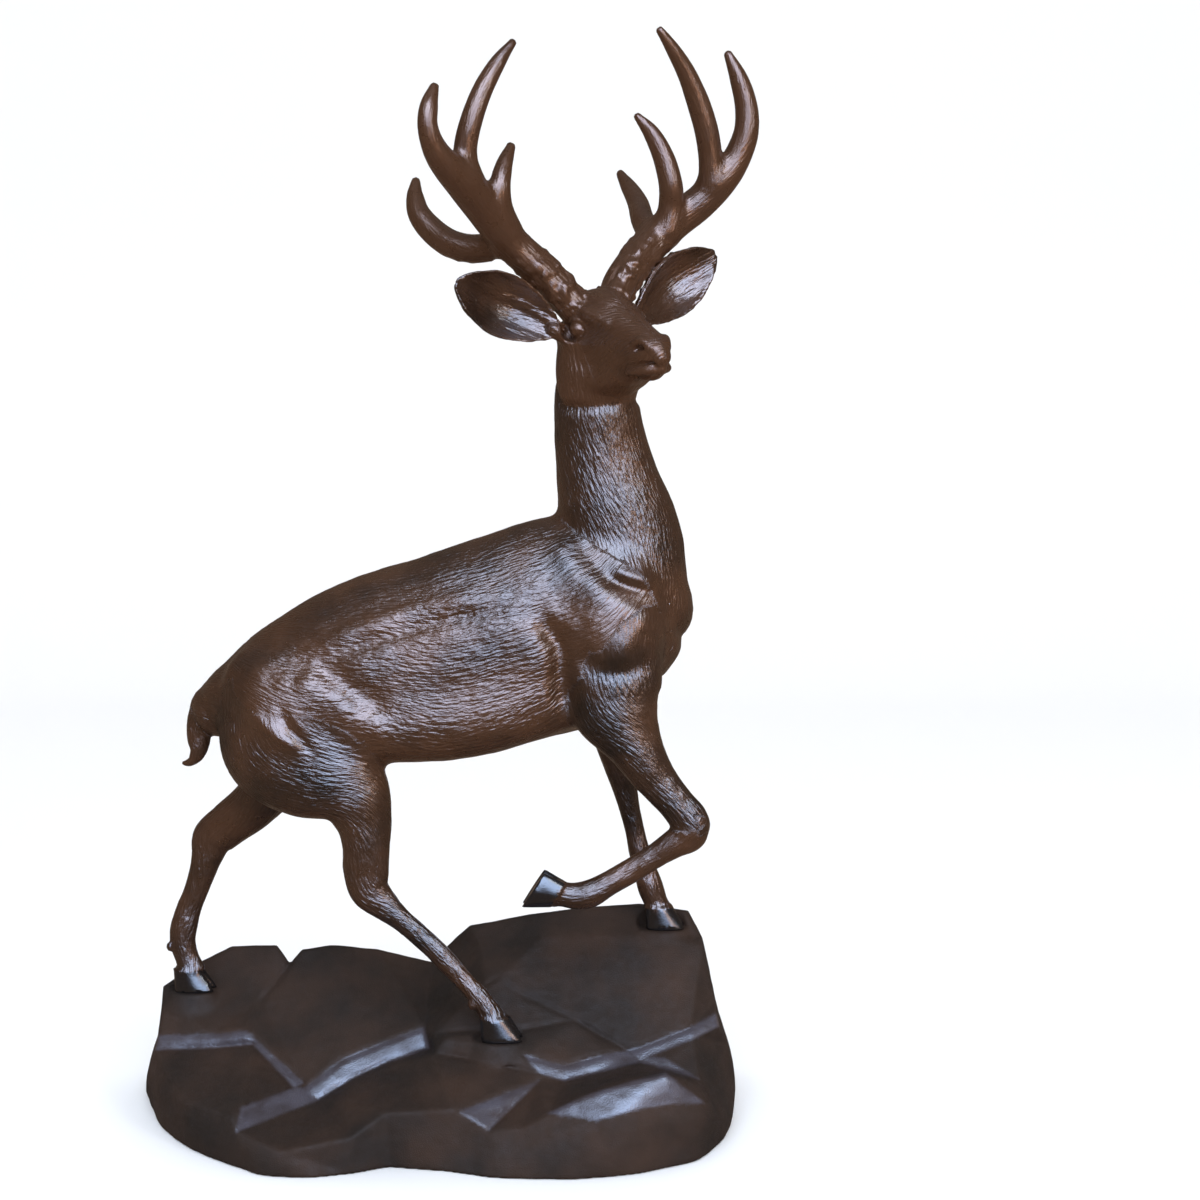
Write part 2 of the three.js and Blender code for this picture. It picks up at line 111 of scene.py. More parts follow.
# Strength of the finer strokes in the finish's bump
STROKE_BUMP = {
    Region.TRUNK: 1.0, Region.NECK: 1.0, Region.LEG: 0.85, Region.SHANK: 0.6, Region.TAIL: 1.0,
    Region.HEAD: 0.75, Region.EAR: 0.8, Region.ANTLER: 0.4,
}

# How thin and reddish the patina is
WARMTH = {
    Region.TRUNK: 0.08, Region.NECK: 0.05, Region.SHANK: 0.08, Region.TAIL: 0.05,
    Region.HEAD: 0.28, Region.EAR: 0.06, Region.ANTLER: 0.26,
}


def by_region(shares: dict[Region, float], region: Array) -> Array:
    """Look every point's region number up in a table, with 0 where it has no row."""
    return np.array([shares.get(kind, 0.0) for kind in Region])[region]


# Noise and small mathematics


def hashed(cells: Array, seed: int) -> Array:
    """Give every integer cell a steady value between 0 and 1.

    Formula: the cell's coordinates are mixed by multiplication and shifts of 32 bits.

    Args:
        cells: Integer cell coordinates, one row each.
        seed: Number that picks one of many patterns.

    Returns:
        One value for each row.
    """
    mixed = np.full(cells.shape[:-1], seed * 374761393 % 4294967296, dtype=np.uint32)
    for axis, prime in zip(range(cells.shape[-1]), (668265263, 2246822519, 3266489917)):
        mixed ^= (cells[..., axis].astype(np.int64) & 0xFFFFFFFF).astype(np.uint32) * np.uint32(prime)
        mixed = (mixed ^ (mixed >> np.uint32(15))) * np.uint32(2246822519)
        mixed ^= mixed >> np.uint32(13)
    return (mixed & np.uint32(0xFFFFFF)).astype(np.float32) / np.float32(0xFFFFFF)


def value_noise(points: Array, seed: int = 0) -> Array:
    """Smooth noise between -1 and 1, with one cell a unit.

    Formula: hashed corner values blended by smoothstep along every axis.

    Args:
        points: Positions of two or three columns, in cells.
        seed: Pattern number.

    Returns:
        One value for each position.
    """
    base = np.floor(points)
    part = (points - base).astype(np.float32)
    part = part * part * (3.0 - 2.0 * part)
    cells = base.astype(np.int64)
    axes = points.shape[-1]
    total = np.zeros(points.shape[:-1], dtype=np.float32)
    for corner in range(2 ** axes):
        offset = np.array([(corner >> axis) & 1 for axis in range(axes)])
        weight = np.prod(np.where(offset == 1, part, 1.0 - part), axis=-1)
        total += weight * hashed(cells + offset, seed)
    return 2.0 * total - 1.0


def layered_noise(points: Array, octaves: int, seed: int = 0) -> Array:
    """Sum of noises, each twice as fine and half as strong as the one before.

    Args:
        points: Positions of two or three columns, in cells of the coarsest noise.
        octaves: Number of noises.
        seed: Pattern number of the coarsest one.

    Returns:
        One value for each position.
    """
    total = np.zeros(points.shape[:-1], dtype=np.float32)
    for octave in range(octaves):
        total += value_noise(points * 2.0 ** octave, seed + octave) * 0.5 ** octave
    return total


def unit(vectors: Array) -> Array:
    """Scale vectors to length one."""
    return vectors / np.maximum(np.linalg.norm(vectors, axis=-1, keepdims=True), 1e-9)


def smooth_knots(knots: Array, count: int) -> Array:
    """Run a Catmull-Rom curve through knots of any number of columns.

    Formula: between knots b and c with neighbours a and d, the value is half of
    2b + (c - a)t + (2a - 5b + 4c - d)t^2 + (3b - a - 3c + d)t^3.

    Args:
        knots: One knot a row.
        count: Number of samples, ends included.

    Returns:
        The samples, one a row.
    """
    padded = np.vstack([2 * knots[0] - knots[1], knots, 2 * knots[-1] - knots[-2]])
    where = np.linspace(0.0, len(knots) - 1.0, count)
    span = np.minimum(where.astype(int), len(knots) - 2)
    t = (where - span)[:, None]
    a, b, c, d = (padded[span + k] for k in range(4))
    return 0.5 * (2 * b + (c - a) * t + (2 * a - 5 * b + 4 * c - d) * t ** 2
                  + (3 * b - a - 3 * c + d) * t ** 3)


@dataclass
class Skin:
    """A closed surface: points, four-sided faces and three-sided faces."""

    points: Array
    quads: Array
    triangles: Array

    @staticmethod
    def of_rings(rings: Array) -> "Skin":
        """Join rings of equal length and close both ends with a fan.

        Args:
            rings: Points by ring, by place around the ring and by axis.

        Returns:
            The closed skin.
        """
        count, sides, _ = rings.shape
        row, column = np.meshgrid(np.arange(count - 1), np.arange(sides), indexing="ij")
        after = (column + 1) % sides
        quads = np.stack([row * sides + column, row * sides + after,
                          (row + 1) * sides + after, (row + 1) * sides + column], axis=-1)
        around = np.arange(sides)
        last = (count - 1) * sides
        first_fan = np.stack([np.full(sides, count * sides), (around + 1) % sides, around], axis=-1)
        last_fan = np.stack([np.full(sides, count * sides + 1), last + around,
                             last + (around + 1) % sides], axis=-1)
        poles = np.stack([rings[0].mean(axis=0), rings[-1].mean(axis=0)])
        points = np.vstack([rings.reshape(-1, 3), poles])
        return Skin(points, quads.reshape(-1, 4), np.vstack([first_fan, last_fan]))


@dataclass
class Limb:
    """A tube of elliptic sections along a smooth path.

    Attributes:
        knots: Rows of x, y, z, half size in the limb's plane and half size across it.
        across: Direction in which the second half size is measured.
        region: What this stretch is.
        power: 2 for an ellipse, more for a boxier section.
        blend: Width over which it melts into what is there already, in mm.
    """

    knots: Array
    across: Array
    region: Region
    power: float = 2.0
    blend: float = 14.0

    def __post_init__(self) -> None:
        """Sample the path and its directions."""
        self.rows = smooth_knots(np.asarray(self.knots, float), SAMPLES_PER_KNOT * len(self.knots))
        self.rows[:, 3:] = np.maximum(self.rows[:, 3:], LEAST_SIZE)
        self.centre = self.rows[:, :3]
        self.along = unit(np.gradient(self.centre, axis=0))
        self.normal = unit(np.cross(np.asarray(self.across, float), self.along))
        self.side = np.cross(self.along, self.normal)
        steps = np.linalg.norm(np.diff(self.centre, axis=0), axis=1)
        self.length = np.concatenate([[0.0], np.cumsum(steps)])
        self.growth = np.gradient(self.rows[:, 3:], self.length, axis=0)

    def skin(self, sides: int = 40) -> Skin:
        """Build the tube's closed surface with domed ends.

        Formula: centre + half cos(a) normal + side sin(a) across, with the cosine and
        sine raised to 2 / power, and quarter-circle domes at both ends.

        Args:
            sides: Number of points around the tube.

        Returns:
            The closed skin in mm.
        """
        angle = np.linspace(0.0, 2 * math.pi, sides, endpoint=False)
        exponent = 2.0 / self.power
        shape = np.stack([np.sign(f) * np.abs(f) ** exponent for f in (np.cos(angle), np.sin(angle))])
        lift = np.linspace(0.15, 1.0, DOME_RINGS + 1)[:-1] * math.pi / 2
        dome, reach = np.sin(lift), np.cos(lift)
        index = np.concatenate([np.zeros(DOME_RINGS, int), np.arange(len(self.rows)),
                                np.full(DOME_RINGS, len(self.rows) - 1)])
        scale = np.concatenate([dome, np.ones(len(self.rows)), dome[::-1]])
        size = self.rows[index, 3:] * scale[:, None]
        out = np.concatenate([-reach, np.zeros(len(self.rows)), reach[::-1]])
        push = out * np.minimum(self.rows[index, 3], self.rows[index, 4]) * 0.8
        centre = self.centre[index] + push[:, None] * self.along[index]
        rings = (centre[:, None]
                 + (size[:, :1] * shape[0])[..., None] * self.normal[index][:, None]
                 + (size[:, 1:] * shape[1])[..., None] * self.side[index][:, None])
        return Skin.of_rings(rings)

    def locate(self, points: Array) -> tuple[Array, Array, Array]:
        """Find where points lie on this limb.

        Args:
            points: Positions in mm.

        Returns:
            How far out each one is (1 is on the limb's own surface), its distance along
            the limb and its distance around it, both in mm.
        """
        reach = ((points ** 2).sum(1)[:, None] - 2 * points @ self.centre.T
                 + (self.centre ** 2).sum(1)[None])
        nearest = reach.argmin(axis=1)
        gap = points - self.centre[nearest]
        ahead = (gap * self.along[nearest]).sum(1)
        up = (gap * self.normal[nearest]).sum(1)
        out = (gap * self.side[nearest]).sum(1)
        size = np.maximum(self.rows[nearest, 3:] + self.growth[nearest] * ahead[:, None], LEAST_SIZE)
        beyond = np.maximum(np.abs(ahead) - 0.6 * size.min(axis=1), 0.0) / size.min(axis=1)
        level = np.hypot(up / size[:, 0], out / size[:, 1]) + beyond
        around = np.arctan2(out / size[:, 1], up / size[:, 0]) * size.mean(axis=1)
        return level, self.length[nearest] + ahead, around


class Clay:
    """A distance field on a dense grid, to which closed skins are added or cut away."""

    def __init__(self, low: Array, high: Array, voxel: float, band: float) -> None:
        """Set up an empty grid.

        Args:
            low: The grid's lowest corner in mm.
            high: Its highest corner in mm.
            voxel: Size of a cell in mm.
            band: Largest distance that the field holds, in mm.
        """
        self.voxel = voxel
        self.band = band
        self.low = np.floor(low / voxel).astype(int)
        self.shape = np.ceil(high / voxel).astype(int) - self.low
        self.values = np.full(tuple(self.shape), band, dtype=np.float32)
        self.transform = openvdb.createLinearTransform(voxelSize=voxel)

    @staticmethod
    def of_values(values: Array, first: Array, voxel: float, band: float) -> "Clay":
        """Wrap a field that is worked out already.

        Args:
            values: The distance in every cell, in mm.
            first: The grid's lowest corner in cells.
            voxel: Size of a cell in mm.
            band: Largest distance that the field holds, in mm.

        Returns:
            The clay, ready to be turned into a skin.
        """
        clay = Clay(first * voxel, (first + 1) * voxel, voxel, band)
        clay.low = first
        clay.values = values
        return clay

    def distance(self, skin: Skin, reach: float) -> tuple[tuple[slice, ...], Array]:
        """Measure the distance to a skin in the part of the grid around it.

        Args:
            skin: The closed skin in mm.
            reach: How far from the skin the distance is needed, in mm.

        Returns:
            The window of the grid, and the distance in each of its cells.
        """
        half_width = reach / self.voxel + 3.0
        grid = openvdb.FloatGrid.createLevelSetFromPolygons(
            skin.points.astype(np.float32), triangles=skin.triangles.astype(np.uint32),
            quads=skin.quads.astype(np.uint32), transform=self.transform, halfWidth=half_width)
        margin = int(half_width) + 2
        low = np.floor(skin.points.min(axis=0) / self.voxel).astype(int) - margin
        high = np.ceil(skin.points.max(axis=0) / self.voxel).astype(int) + margin
        low = np.clip(low, self.low, self.low + self.shape)
        high = np.clip(high, self.low, self.low + self.shape)
        near = np.empty(tuple(high - low), dtype=np.float32)
        grid.copyToArray(near, ijk=tuple(int(v) for v in low))
        window = tuple(slice(a, b) for a, b in zip(low - self.low, high - self.low))
        return window, near

    def add(self, skin: Skin, blend: float) -> None:
        """Join a skin on, melting the joint over the blend width.

        Formula: with h = clamp(1/2 + (a - b) / 2k), the field is a(1-h) + bh - kh(1-h).

        Args:
            skin: The closed skin in mm.
            blend: The width k in mm.
        """
        window, near = self.distance(skin, blend)
        here = self.values[window]
        h = np.clip(0.5 + 0.5 * (here - near) / blend, 0.0, 1.0)
        self.values[window] = here * (1.0 - h) + near * h - blend * h * (1.0 - h)

    def cut(self, skin: Skin, blend: float) -> None:
        """Cut a skin's inside away, rounding the edge over the blend width.

        Formula: as for joining, with the skin's distance turned negative.

        Args:
            skin: The closed skin in mm.
            blend: The width in mm.
        """
        window, near = self.distance(skin, blend)
        here = self.values[window]
        h = np.clip(0.5 - 0.5 * (here + near) / blend, 0.0, 1.0)
        self.values[window] = here * (1.0 - h) - near * h + blend * h * (1.0 - h)

    def surface(self) -> Skin:
        """Turn the field into a skin of even faces.

        Returns:
            The skin in mm.
        """
        grid = openvdb.FloatGrid(self.band)
        grid.transform = self.transform
        clipped = np.clip(self.values, -self.band, self.band)
        grid.copyFromArray(clipped, ijk=tuple(int(v) for v in self.low), tolerance=0.0)
        points, triangles, quads = grid.convertToPolygons(isovalue=0.0, adaptivity=0.0)
        return Skin(points.astype(float), quads.astype(int), triangles.astype(int))


def ball(centre: Sequence[float], radii: Sequence[float], turn: Array | None = None) -> Skin:
    """Make an ellipsoid.

    Formula: sine and cosine of the polar angle and of the angle around, times the radii.

    Args:
        centre: Its middle in mm.
        radii: Its half sizes in mm.
        turn: Matrix whose columns are its axes; none leaves them as they are.

    Returns:
        The closed skin.
    """
    sides = 24
    polar = np.linspace(0.06, math.pi - 0.06, 14)
    angle = np.linspace(0.0, 2 * math.pi, sides, endpoint=False)
    rings = np.stack([np.sin(polar)[:, None] * np.cos(angle), np.sin(polar)[:, None] * np.sin(angle),
                      np.repeat(np.cos(polar)[:, None], sides, axis=1)], axis=-1) * np.asarray(radii)
    if turn is not None:
        rings = rings @ turn.T
    return Skin.of_rings(rings + np.asarray(centre))


def skin_normals(skin: Skin) -> Array:
    """Average the faces' directions at every point, weighted by area.

    Args:
        skin: A closed skin.

    Returns:
        One direction of length one for each point.
    """
    sheets = [skin.quads[:, [0, 1, 2]], skin.quads[:, [0, 2, 3]], skin.triangles]
    corners = np.vstack([s for s in sheets if len(s)])
    a, b, c = (skin.points[corners[:, k]] for k in range(3))
    faces = np.cross(b - a, c - a)
    total = np.stack([
        sum(np.bincount(corners[:, k], faces[:, axis], len(skin.points)) for k in range(3))
        for axis in range(3)], axis=-1)
    return unit(total)


@dataclass(frozen=True)
class HeadFrame:
    """The head's own directions: out to its left, forward along the nose, and up."""

    place: tuple[float, float, float] = (335.0, -60.0, 1510.0)
    turn: float = math.radians(32.0)
    roll: float = math.radians(7.7)

    def axes(self) -> Array:
        """Work out the head's directions.

        Returns:
            Three rows of length one: left, forward and up.
        """
        forward = np.array([math.sin(self.turn), -math.cos(self.turn), 0.0])
        level = np.array([math.cos(self.turn), math.sin(self.turn), 0.0])
        left = level * math.cos(self.roll) + np.array([0.0, 0.0, math.sin(self.roll)])
        return np.stack([left, forward, np.cross(forward, left)])

    def world(self, points: Array) -> Array:
        """Carry points from the head's directions to the statue's."""
        return np.asarray(points, float) @ self.axes() + np.asarray(self.place)

    def local(self, points: Array) -> Array:
        """Carry points from the statue's directions to the head's."""
        return (points - np.asarray(self.place)) @ self.axes().T

    def limb(self, rows: Sequence[Sequence[float]], region: Region, across: int = 0,
             power: float = 2.0, blend: float = 8.0) -> Limb:
        """Make a limb from rows given in the head's directions.

        Args:
            rows: Out, forward, up, half size in the limb's plane and half size across it.
            region: What the limb is.
            across: Number of the head's direction in which the size across is measured.
            power: 2 for an ellipse, more for a boxier section.
            blend: Width over which it melts in, in mm.

        Returns:
            The limb in the statue's directions.
        """
        table = np.asarray(rows, float)
        knots = np.hstack([self.world(table[:, :3]), table[:, 3:]])
        return Limb(knots, self.axes()[across], region, power, blend)


@dataclass(frozen=True)
class Crease:
    """A groove or ridge worked into the side of the trunk or of the head.

    Attributes:
        line: Points in a plane, in mm: x and height above the lowest sole on the trunk.
        width: Half width of the groove.
        depth: Depth in mm, negative for a ridge.
    """

    line: tuple[tuple[float, float], ...]
    width: float
    depth: float

    def push(self, flat: Array) -> Array:
        """Tell how far each point goes in.

        Formula: depth times exp(-(distance / width)^2), with the distance to the nearest
        stretch of the line, fading at both ends.

        Args:
            flat: Places in the line's own plane, in mm.

        Returns:
            One depth in mm for each place.
        """
        line = smooth_knots(np.asarray(self.line, float), 8 * len(self.line))
        share = np.linspace(0.0, 1.0, len(line))
        reach = ((flat[:, None] - line[None]) ** 2).sum(-1)
        nearest = reach.argmin(axis=1)
        fade = np.clip(4.0 * np.minimum(share, 1.0 - share) + 0.25, 0.0, 1.0)[nearest]
        return self.depth * fade * np.exp(-reach.min(axis=1) / self.width ** 2)


ACROSS = (0.0, 1.0, 0.0)

# Each row: x, y, height above the lowest sole, half size in the plane, half size across
TRUNK = (
    (-404, 15, 605, 50, 45), (-360, 15, 627, 74, 75), (-297, 15, 642, 115, 105),
    (-202, 15, 662, 152, 120), (-79, 15, 693, 177, 130), (44, 15, 712, 196, 138),
    (166, 15, 748, 199, 140), (279, 15, 780, 200, 135), (373, 15, 793, 174, 116),
    (434, 15, 796, 114, 86), (462, 15, 803, 52, 46),
)
NECK = (
    (386, 10, 815, 108, 88), (374, 5, 894, 111, 90), (357, 0, 969, 109, 84),
    (340, -8, 1043, 96, 76), (327, -18, 1117, 85, 69), (320, -28, 1181, 78, 65),
    (317, -38, 1244, 73, 61), (319, -42, 1300, 68, 55),
)
TAIL = (
    (-395, 15, 640, 24, 18), (-418, 15, 626, 23, 17), (-434, 15, 592, 20, 15),
    (-433, 15, 555, 22, 14), (-435, 15, 530, 16, 11), (-448, 15, 511, 9, 7),
    (-464, 15, 507, 4, 4),
)
RAISED_UPPER = (
    (326, -30, 869, 66, 52), (342, -52, 790, 92, 62), (346, -66, 708, 94, 56),
    (353, -74, 634, 85, 46), (390, -77, 560, 53, 36), (424, -78, 503, 40, 28),
    (462, -78, 456, 34, 25), (488, -78, 424, 36, 24), (500, -78, 402, 31, 22),
)
RAISED_LOWER = (
    (502, -78, 418, 24, 22), (492, -78, 393, 32, 22), (462, -78, 374, 27, 19),
    (428, -78, 352, 23, 16), (382, -78, 323, 23, 15), (341, -78, 299, 23, 17),
    (309, -78, 281, 26, 20), (283, -78, 276, 25, 19), (258, -78, 279, 23, 18),
    (244, -78, 281, 26, 20),
)


@dataclass(frozen=True)
class StandingLeg:
    """A leg that stands on the rock.

    Attributes:
        pad: Height of the rock under the hoof, in mm.
        root: Height of the leg's root above the lowest sole.
        hoof: Place of the hoof's middle.
        rows: x, y, share of the way up from the sole, half size and size across.
    """

    pad: float
    root: float
    hoof: tuple[float, float]
    rows: tuple[tuple[float, ...], ...]

    def knots(self) -> Array:
        """Turn the shares into heights.

        Returns:
            Rows of x, y, z and the two half sizes, in mm.
        """
        table = np.asarray(self.rows, float)
        sole = self.pad + SOLE_GAP
        table[:, 2] = sole + table[:, 2] * (LOWEST_PAD + self.root - sole)
        return table


FAR_FORE = StandingLeg(340.0, 740.0, (456.0, 115.0), (
    (330, 60, 1.00, 85, 48), (350, 88, 0.80, 64, 42), (360, 104, 0.67, 50, 33),
    (369, 112, 0.54, 31, 22), (379, 115, 0.45, 22, 17), (391, 115, 0.36, 19, 14),
    (401, 115, 0.28, 20, 15), (415, 115, 0.195, 22, 16), (426, 115, 0.14, 24, 18),
    (437, 115, 0.085, 23, 17), (446, 115, 0.05, 28, 20),
))
NEAR_HIND = StandingLeg(182.0, 650.0, (144.0, -75.0), (
    (-292, -25, 1.00, 100, 62), (-250, -48, 0.89, 138, 66), (-180, -62, 0.79, 117, 58),
    (-130, -70, 0.71, 74, 44), (-111, -73, 0.64, 53, 31), (-107, -75, 0.57, 43, 25),
    (-108, -75, 0.50, 42, 23), (-101, -75, 0.44, 37, 21), (-71, -75, 0.39, 28, 18),
    (-36, -75, 0.345, 21, 15), (19, -75, 0.265, 21, 13), (72, -75, 0.175, 19, 13),
    (98, -75, 0.13, 20, 16), (112, -75, 0.10, 21, 17), (126, -75, 0.065, 24, 19),
))
FAR_HIND = StandingLeg(214.0, 640.0, (-474.0, 115.0), (
    (-245, 48, 1.00, 88, 60), (-262, 62, 0.84, 76, 56), (-294, 80, 0.72, 55, 46),
    (-345, 100, 0.625, 48, 34), (-398, 110, 0.555, 43, 26), (-434, 115, 0.505, 40, 22),
    (-447, 115, 0.445, 30, 18), (-456, 115, 0.395, 26, 16), (-470, 115, 0.33, 24, 14),
    (-486, 115, 0.265, 24, 14), (-497, 115, 0.20, 26, 17), (-498, 115, 0.155, 25, 17),
    (-490, 115, 0.105, 23, 17), (-482, 115, 0.065, 27, 20),
))
STANDING = (FAR_FORE, NEAR_HIND, FAR_HIND)

# Muscle pads for one side of the trunk, with y counted outwards from its middle
SHOULDER_PADS = (
    ((268, 78, 905, 34, 30), (300, 96, 850, 52, 34), (330, 104, 790, 62, 36), (345, 100, 730, 50, 34)),
    ((330, 70, 905, 30, 26), (372, 88, 862, 44, 34), (392, 88, 800, 44, 34), (385, 82, 745, 34, 28)),
    ((352, 100, 772, 40, 26), (372, 104, 748, 44, 28), (400, 92, 742, 34, 26)),
)
HAUNCH_PADS = (
    ((-330, 60, 690, 44, 34), (-285, 88, 660, 62, 38), (-240, 100, 610, 66, 38), (-205, 92, 560, 56, 34)),
    ((-240, 96, 668, 30, 26), (-190, 104, 650, 40, 28), (-130, 96, 606, 36, 26), (-95, 84, 575, 24, 20)),
)
BELLY_PADS = (
    ((-215, 58, 594, 58, 46), (-110, 72, 598, 74, 58), (40, 76, 609, 80, 62), (160, 74, 636, 82, 60),
     (250, 60, 655, 70, 52)),
)
BRISKET = ((442, 15, 850, 30, 34), (449, 15, 800, 34, 38), (439, 15, 745, 34, 34), (422, 15, 700, 30, 30))

CREASES = (
    Crease(((-200, 747), (-136, 769), (-72, 791), (2, 816), (73, 829), (140, 842)), 15, -5.0),
    Crease(((-171, 722), (-71, 757), (19, 786), (146, 812)), 13, 5.0),
    Crease(((-219, 698), (-195, 681), (-138, 641), (-86, 600), (-66, 566)), 22, -5.0),
    Crease(((-196, 716), (-128, 672), (-60, 622)), 24, 6.0),
    Crease(((-313, 634), (-282, 602), (-248, 576), (-208, 560)), 13, -5.5),
    Crease(((-252, 634), (-231, 590), (-190, 548)), 11, 6.0),
    Crease(((218, 800), (243, 762), (254, 736), (259, 662), (270, 612)), 20, 15.0),
    Crease(((292, 740), (313, 712), (369, 702), (420, 730)), 20, 5.0),
    Crease(((268, 955), (292, 915), (339, 872), (395, 832), (440, 802), (450, 755)), 22, 5.5),
    Crease(((300, 880), (335, 846), (390, 806), (430, 778)), 26, -5.0),
    Crease(((342, 868), (390, 852), (439, 842)), 9, 4.5),
    Crease(((345, 886), (392, 869), (440, 860)), 10, -4.0),
)

# The groove behind and under the jaw: forward and up in the head's directions
JAW = Crease(((-85, -26), (-75, -70), (-62, -110), (-40, -137), (-8, -143), (35, -147)), 9, 8.0)

# Antlers: rows of out, forward, up and radius in the head's directions
RIGHT_ANTLER = {
    "side": -1,
    "beam": (
        (34, -22, 14, 30), (60, -30, 54, 31), (84, -38, 89, 31), (111, -45, 120, 31),
        (140, -50, 152, 31), (173, -44, 188, 32), (212, -25, 228, 33), (250, 0, 259, 32),
        (286, 20, 284, 27), (316, 36, 313, 21), (329, 45, 350, 17), (322, 45, 383, 15),
        (306, 40, 412, 8),
    ),
    "tines": (
        ((147, -58, 163, 23), (181, -100, 155, 25), (210, -137, 166, 25), (229, -170, 191, 24),
         (242, -197, 227, 21), (238, -216, 261, 16), (227, -228, 290, 8)),
        ((158, -35, 182, 22), (174, -20, 216, 21), (178, -8, 249, 19), (163, -12, 285, 15),
         (140, -20, 318, 8)),
        ((245, 5, 268, 22), (249, 16, 313, 20), (238, 28, 357, 19), (212, 35, 407, 17),
         (180, 41, 450, 13), (151, 45, 480, 7)),
    ),
}
LEFT_ANTLER = {
    "side": 1,
    "beam": (
        (34, -22, 18, 30), (52, -30, 51, 31), (84, -38, 84, 32), (124, -45, 116, 33),
        (165, -48, 143, 33), (205, -40, 170, 33), (248, -15, 200, 32), (284, 10, 235, 30),
        (311, 28, 272, 26), (327, 42, 315, 23), (330, 46, 361, 21), (320, 45, 410, 17),
        (305, 40, 454, 8),
    ),
    "tines": (
        ((158, -55, 145, 23), (173, -100, 181, 22), (200, -150, 215, 20), (215, -195, 248, 16),
         (217, -225, 280, 8)),
        ((180, -30, 160, 25), (185, -20, 199, 23), (181, -8, 234, 22), (174, -11, 283, 20),
         (158, -18, 328, 15), (136, -25, 360, 7)),
        ((262, 8, 235, 24), (258, 18, 280, 22), (249, 26, 325, 22), (233, 31, 374, 21),
         (211, 37, 421, 17), (183, 43, 462, 13), (155, 46, 497, 7)),
    ),
}


@dataclass(frozen=True)
class Ear:
    """A leaf-shaped cup with a rolled rim and ribs inside.

    Attributes:
        side: 1 for the stag's left ear and -1 for its right one.
        root: Where it starts, in the head's directions.
        tip: Where it points to.
        length: Length in mm.
        width: Width in mm.
        wall: Thickness of its wall in mm.
    """

    side: int
    root: tuple[float, float, float]
    tip: tuple[float, float, float]
    length: float = 246.0
    width: float = 112.0
    wall: float = 9.0

    def ends(self) -> tuple[Array, Array]:
        """Return the root and the tip on the ear's own side."""
        flip = np.array([self.side, 1.0, 1.0])
        return np.asarray(self.root) * flip, np.asarray(self.tip) * flip

    def skin(self, head: HeadFrame) -> Skin:
        """Build the cup.

        Formula: at share s of its length the half width is that of a leaf, and its
        section is a parabola as deep as three quarters of the half width, thickened by
        the wall and by a bead at both edges.

        Args:
            head: The head that the ear grows from.

        Returns:
            The closed skin in mm.
        """
        root, tip = (head.world(end) for end in self.ends())
        along = unit(tip - root)
        forward = head.axes()[1] - 0.15 * head.axes()[2]
        facing = unit(forward - along * (forward @ along))
        wide = np.cross(facing, along)
        share = np.linspace(0.02, 0.985, 44)[:, None]
        leaf = np.sin(math.pi * share ** 1.15) ** 0.7
        half = 0.5 * self.width * np.maximum(leaf, 0.3 * (1 - share))
        cup = 0.75 * half * np.sin(math.pi * share) ** 0.6
        s = np.linspace(-1.0, 1.0, 61)[None]
        rim = 1.0 + 0.75 * np.exp(-((np.abs(s) - 0.93) / 0.09) ** 2)
        lines = np.sin(13.0 * math.pi * s + 3.0 * np.sin(2.0 * s))
        ribs = 1.7 * lines * np.clip(1.1 - np.abs(s), 0, 1) * leaf
        fold = 7.0 * np.exp(-((s - 0.35 * self.side) / 0.16) ** 2) * np.clip(1.1 - 1.3 * share, 0, 1)
        ribs = ribs + fold
        wall = 0.5 * self.wall * np.minimum(1.0, 0.35 + leaf) * rim

        def sheet(offset: Array) -> Array:
            """Place one face of the wall, an offset in mm from its middle."""
            curl = -cup * (1 - s * s) + offset
            return (root + (share * self.length)[..., None] * along
                    + (half * s)[..., None] * wide + curl[..., None] * facing)

        front = sheet(wall + ribs)
        back = sheet(-wall)
        return Skin.of_rings(np.concatenate([back, front[:, ::-1]], axis=1))


EARS = (
    Ear(-1, (74, -22, -12), (280, -26, 99), 234.0),
    Ear(1, (69, -22, -9), (286, -26, 107), 243.0),
)

SKULL = (
    (0, -78, -21, 41, 43), (0, -40, -31, 80, 59), (0, 0, -41, 97, 58), (0, 40, -48, 88, 53),
    (0, 80, -52, 65, 44), (0, 118, -57, 46, 36), (0, 145, -63, 35, 32), (0, 159, -67, 27, 26),
    (0, 167, -68, 18, 19),
)


@dataclass(frozen=True)
class HoofShape:
    """A cloven hoof: two pointed toes with flat soles."""

    length: float = 78.0
    width: float = 50.0
    height: float = 46.0
    cleft: float = 5.0

    def toes(self) -> list[Skin]:
        """Build both toes with the sole at height 0 and the points along +x.

        Formula: flat egg-shaped rings that shrink and lean back as they rise.

        Returns:
            The two toes' skins.
        """
        sides = 32
        angle = np.linspace(0.0, 2 * math.pi, sides, endpoint=False)[None]
        level = np.array([0.0, 0.08, 0.3, 0.6, 0.85, 1.0])[:, None]
        shrink = 1 - 0.32 * level
        bulge = np.where(level == 0.0, 0.97, 1.0)
        point = 1 - 0.42 * np.maximum(0.0, np.cos(angle)) ** 2
        x = -0.2 * self.length * level + 0.5 * self.length * shrink * bulge * np.cos(angle)
        wide = 0.25 * (self.width - self.cleft) * (2 - shrink) * bulge
        z = np.repeat(self.height * level, sides, axis=1)
        pair = []
        for side in (-1, 1):
            middle = side * 0.25 * (self.width + self.cleft) * (1 - 0.45 * level)
            pair.append(Skin.of_rings(np.stack([x, middle + wide * np.sin(angle) * point, z], axis=-1)))
        return pair


# Where the muzzle starts, in mm ahead of the head's middle, and the share it is shortened by
MUZZLE_START = 100.0
MUZZLE_SHORTENING = 0.1


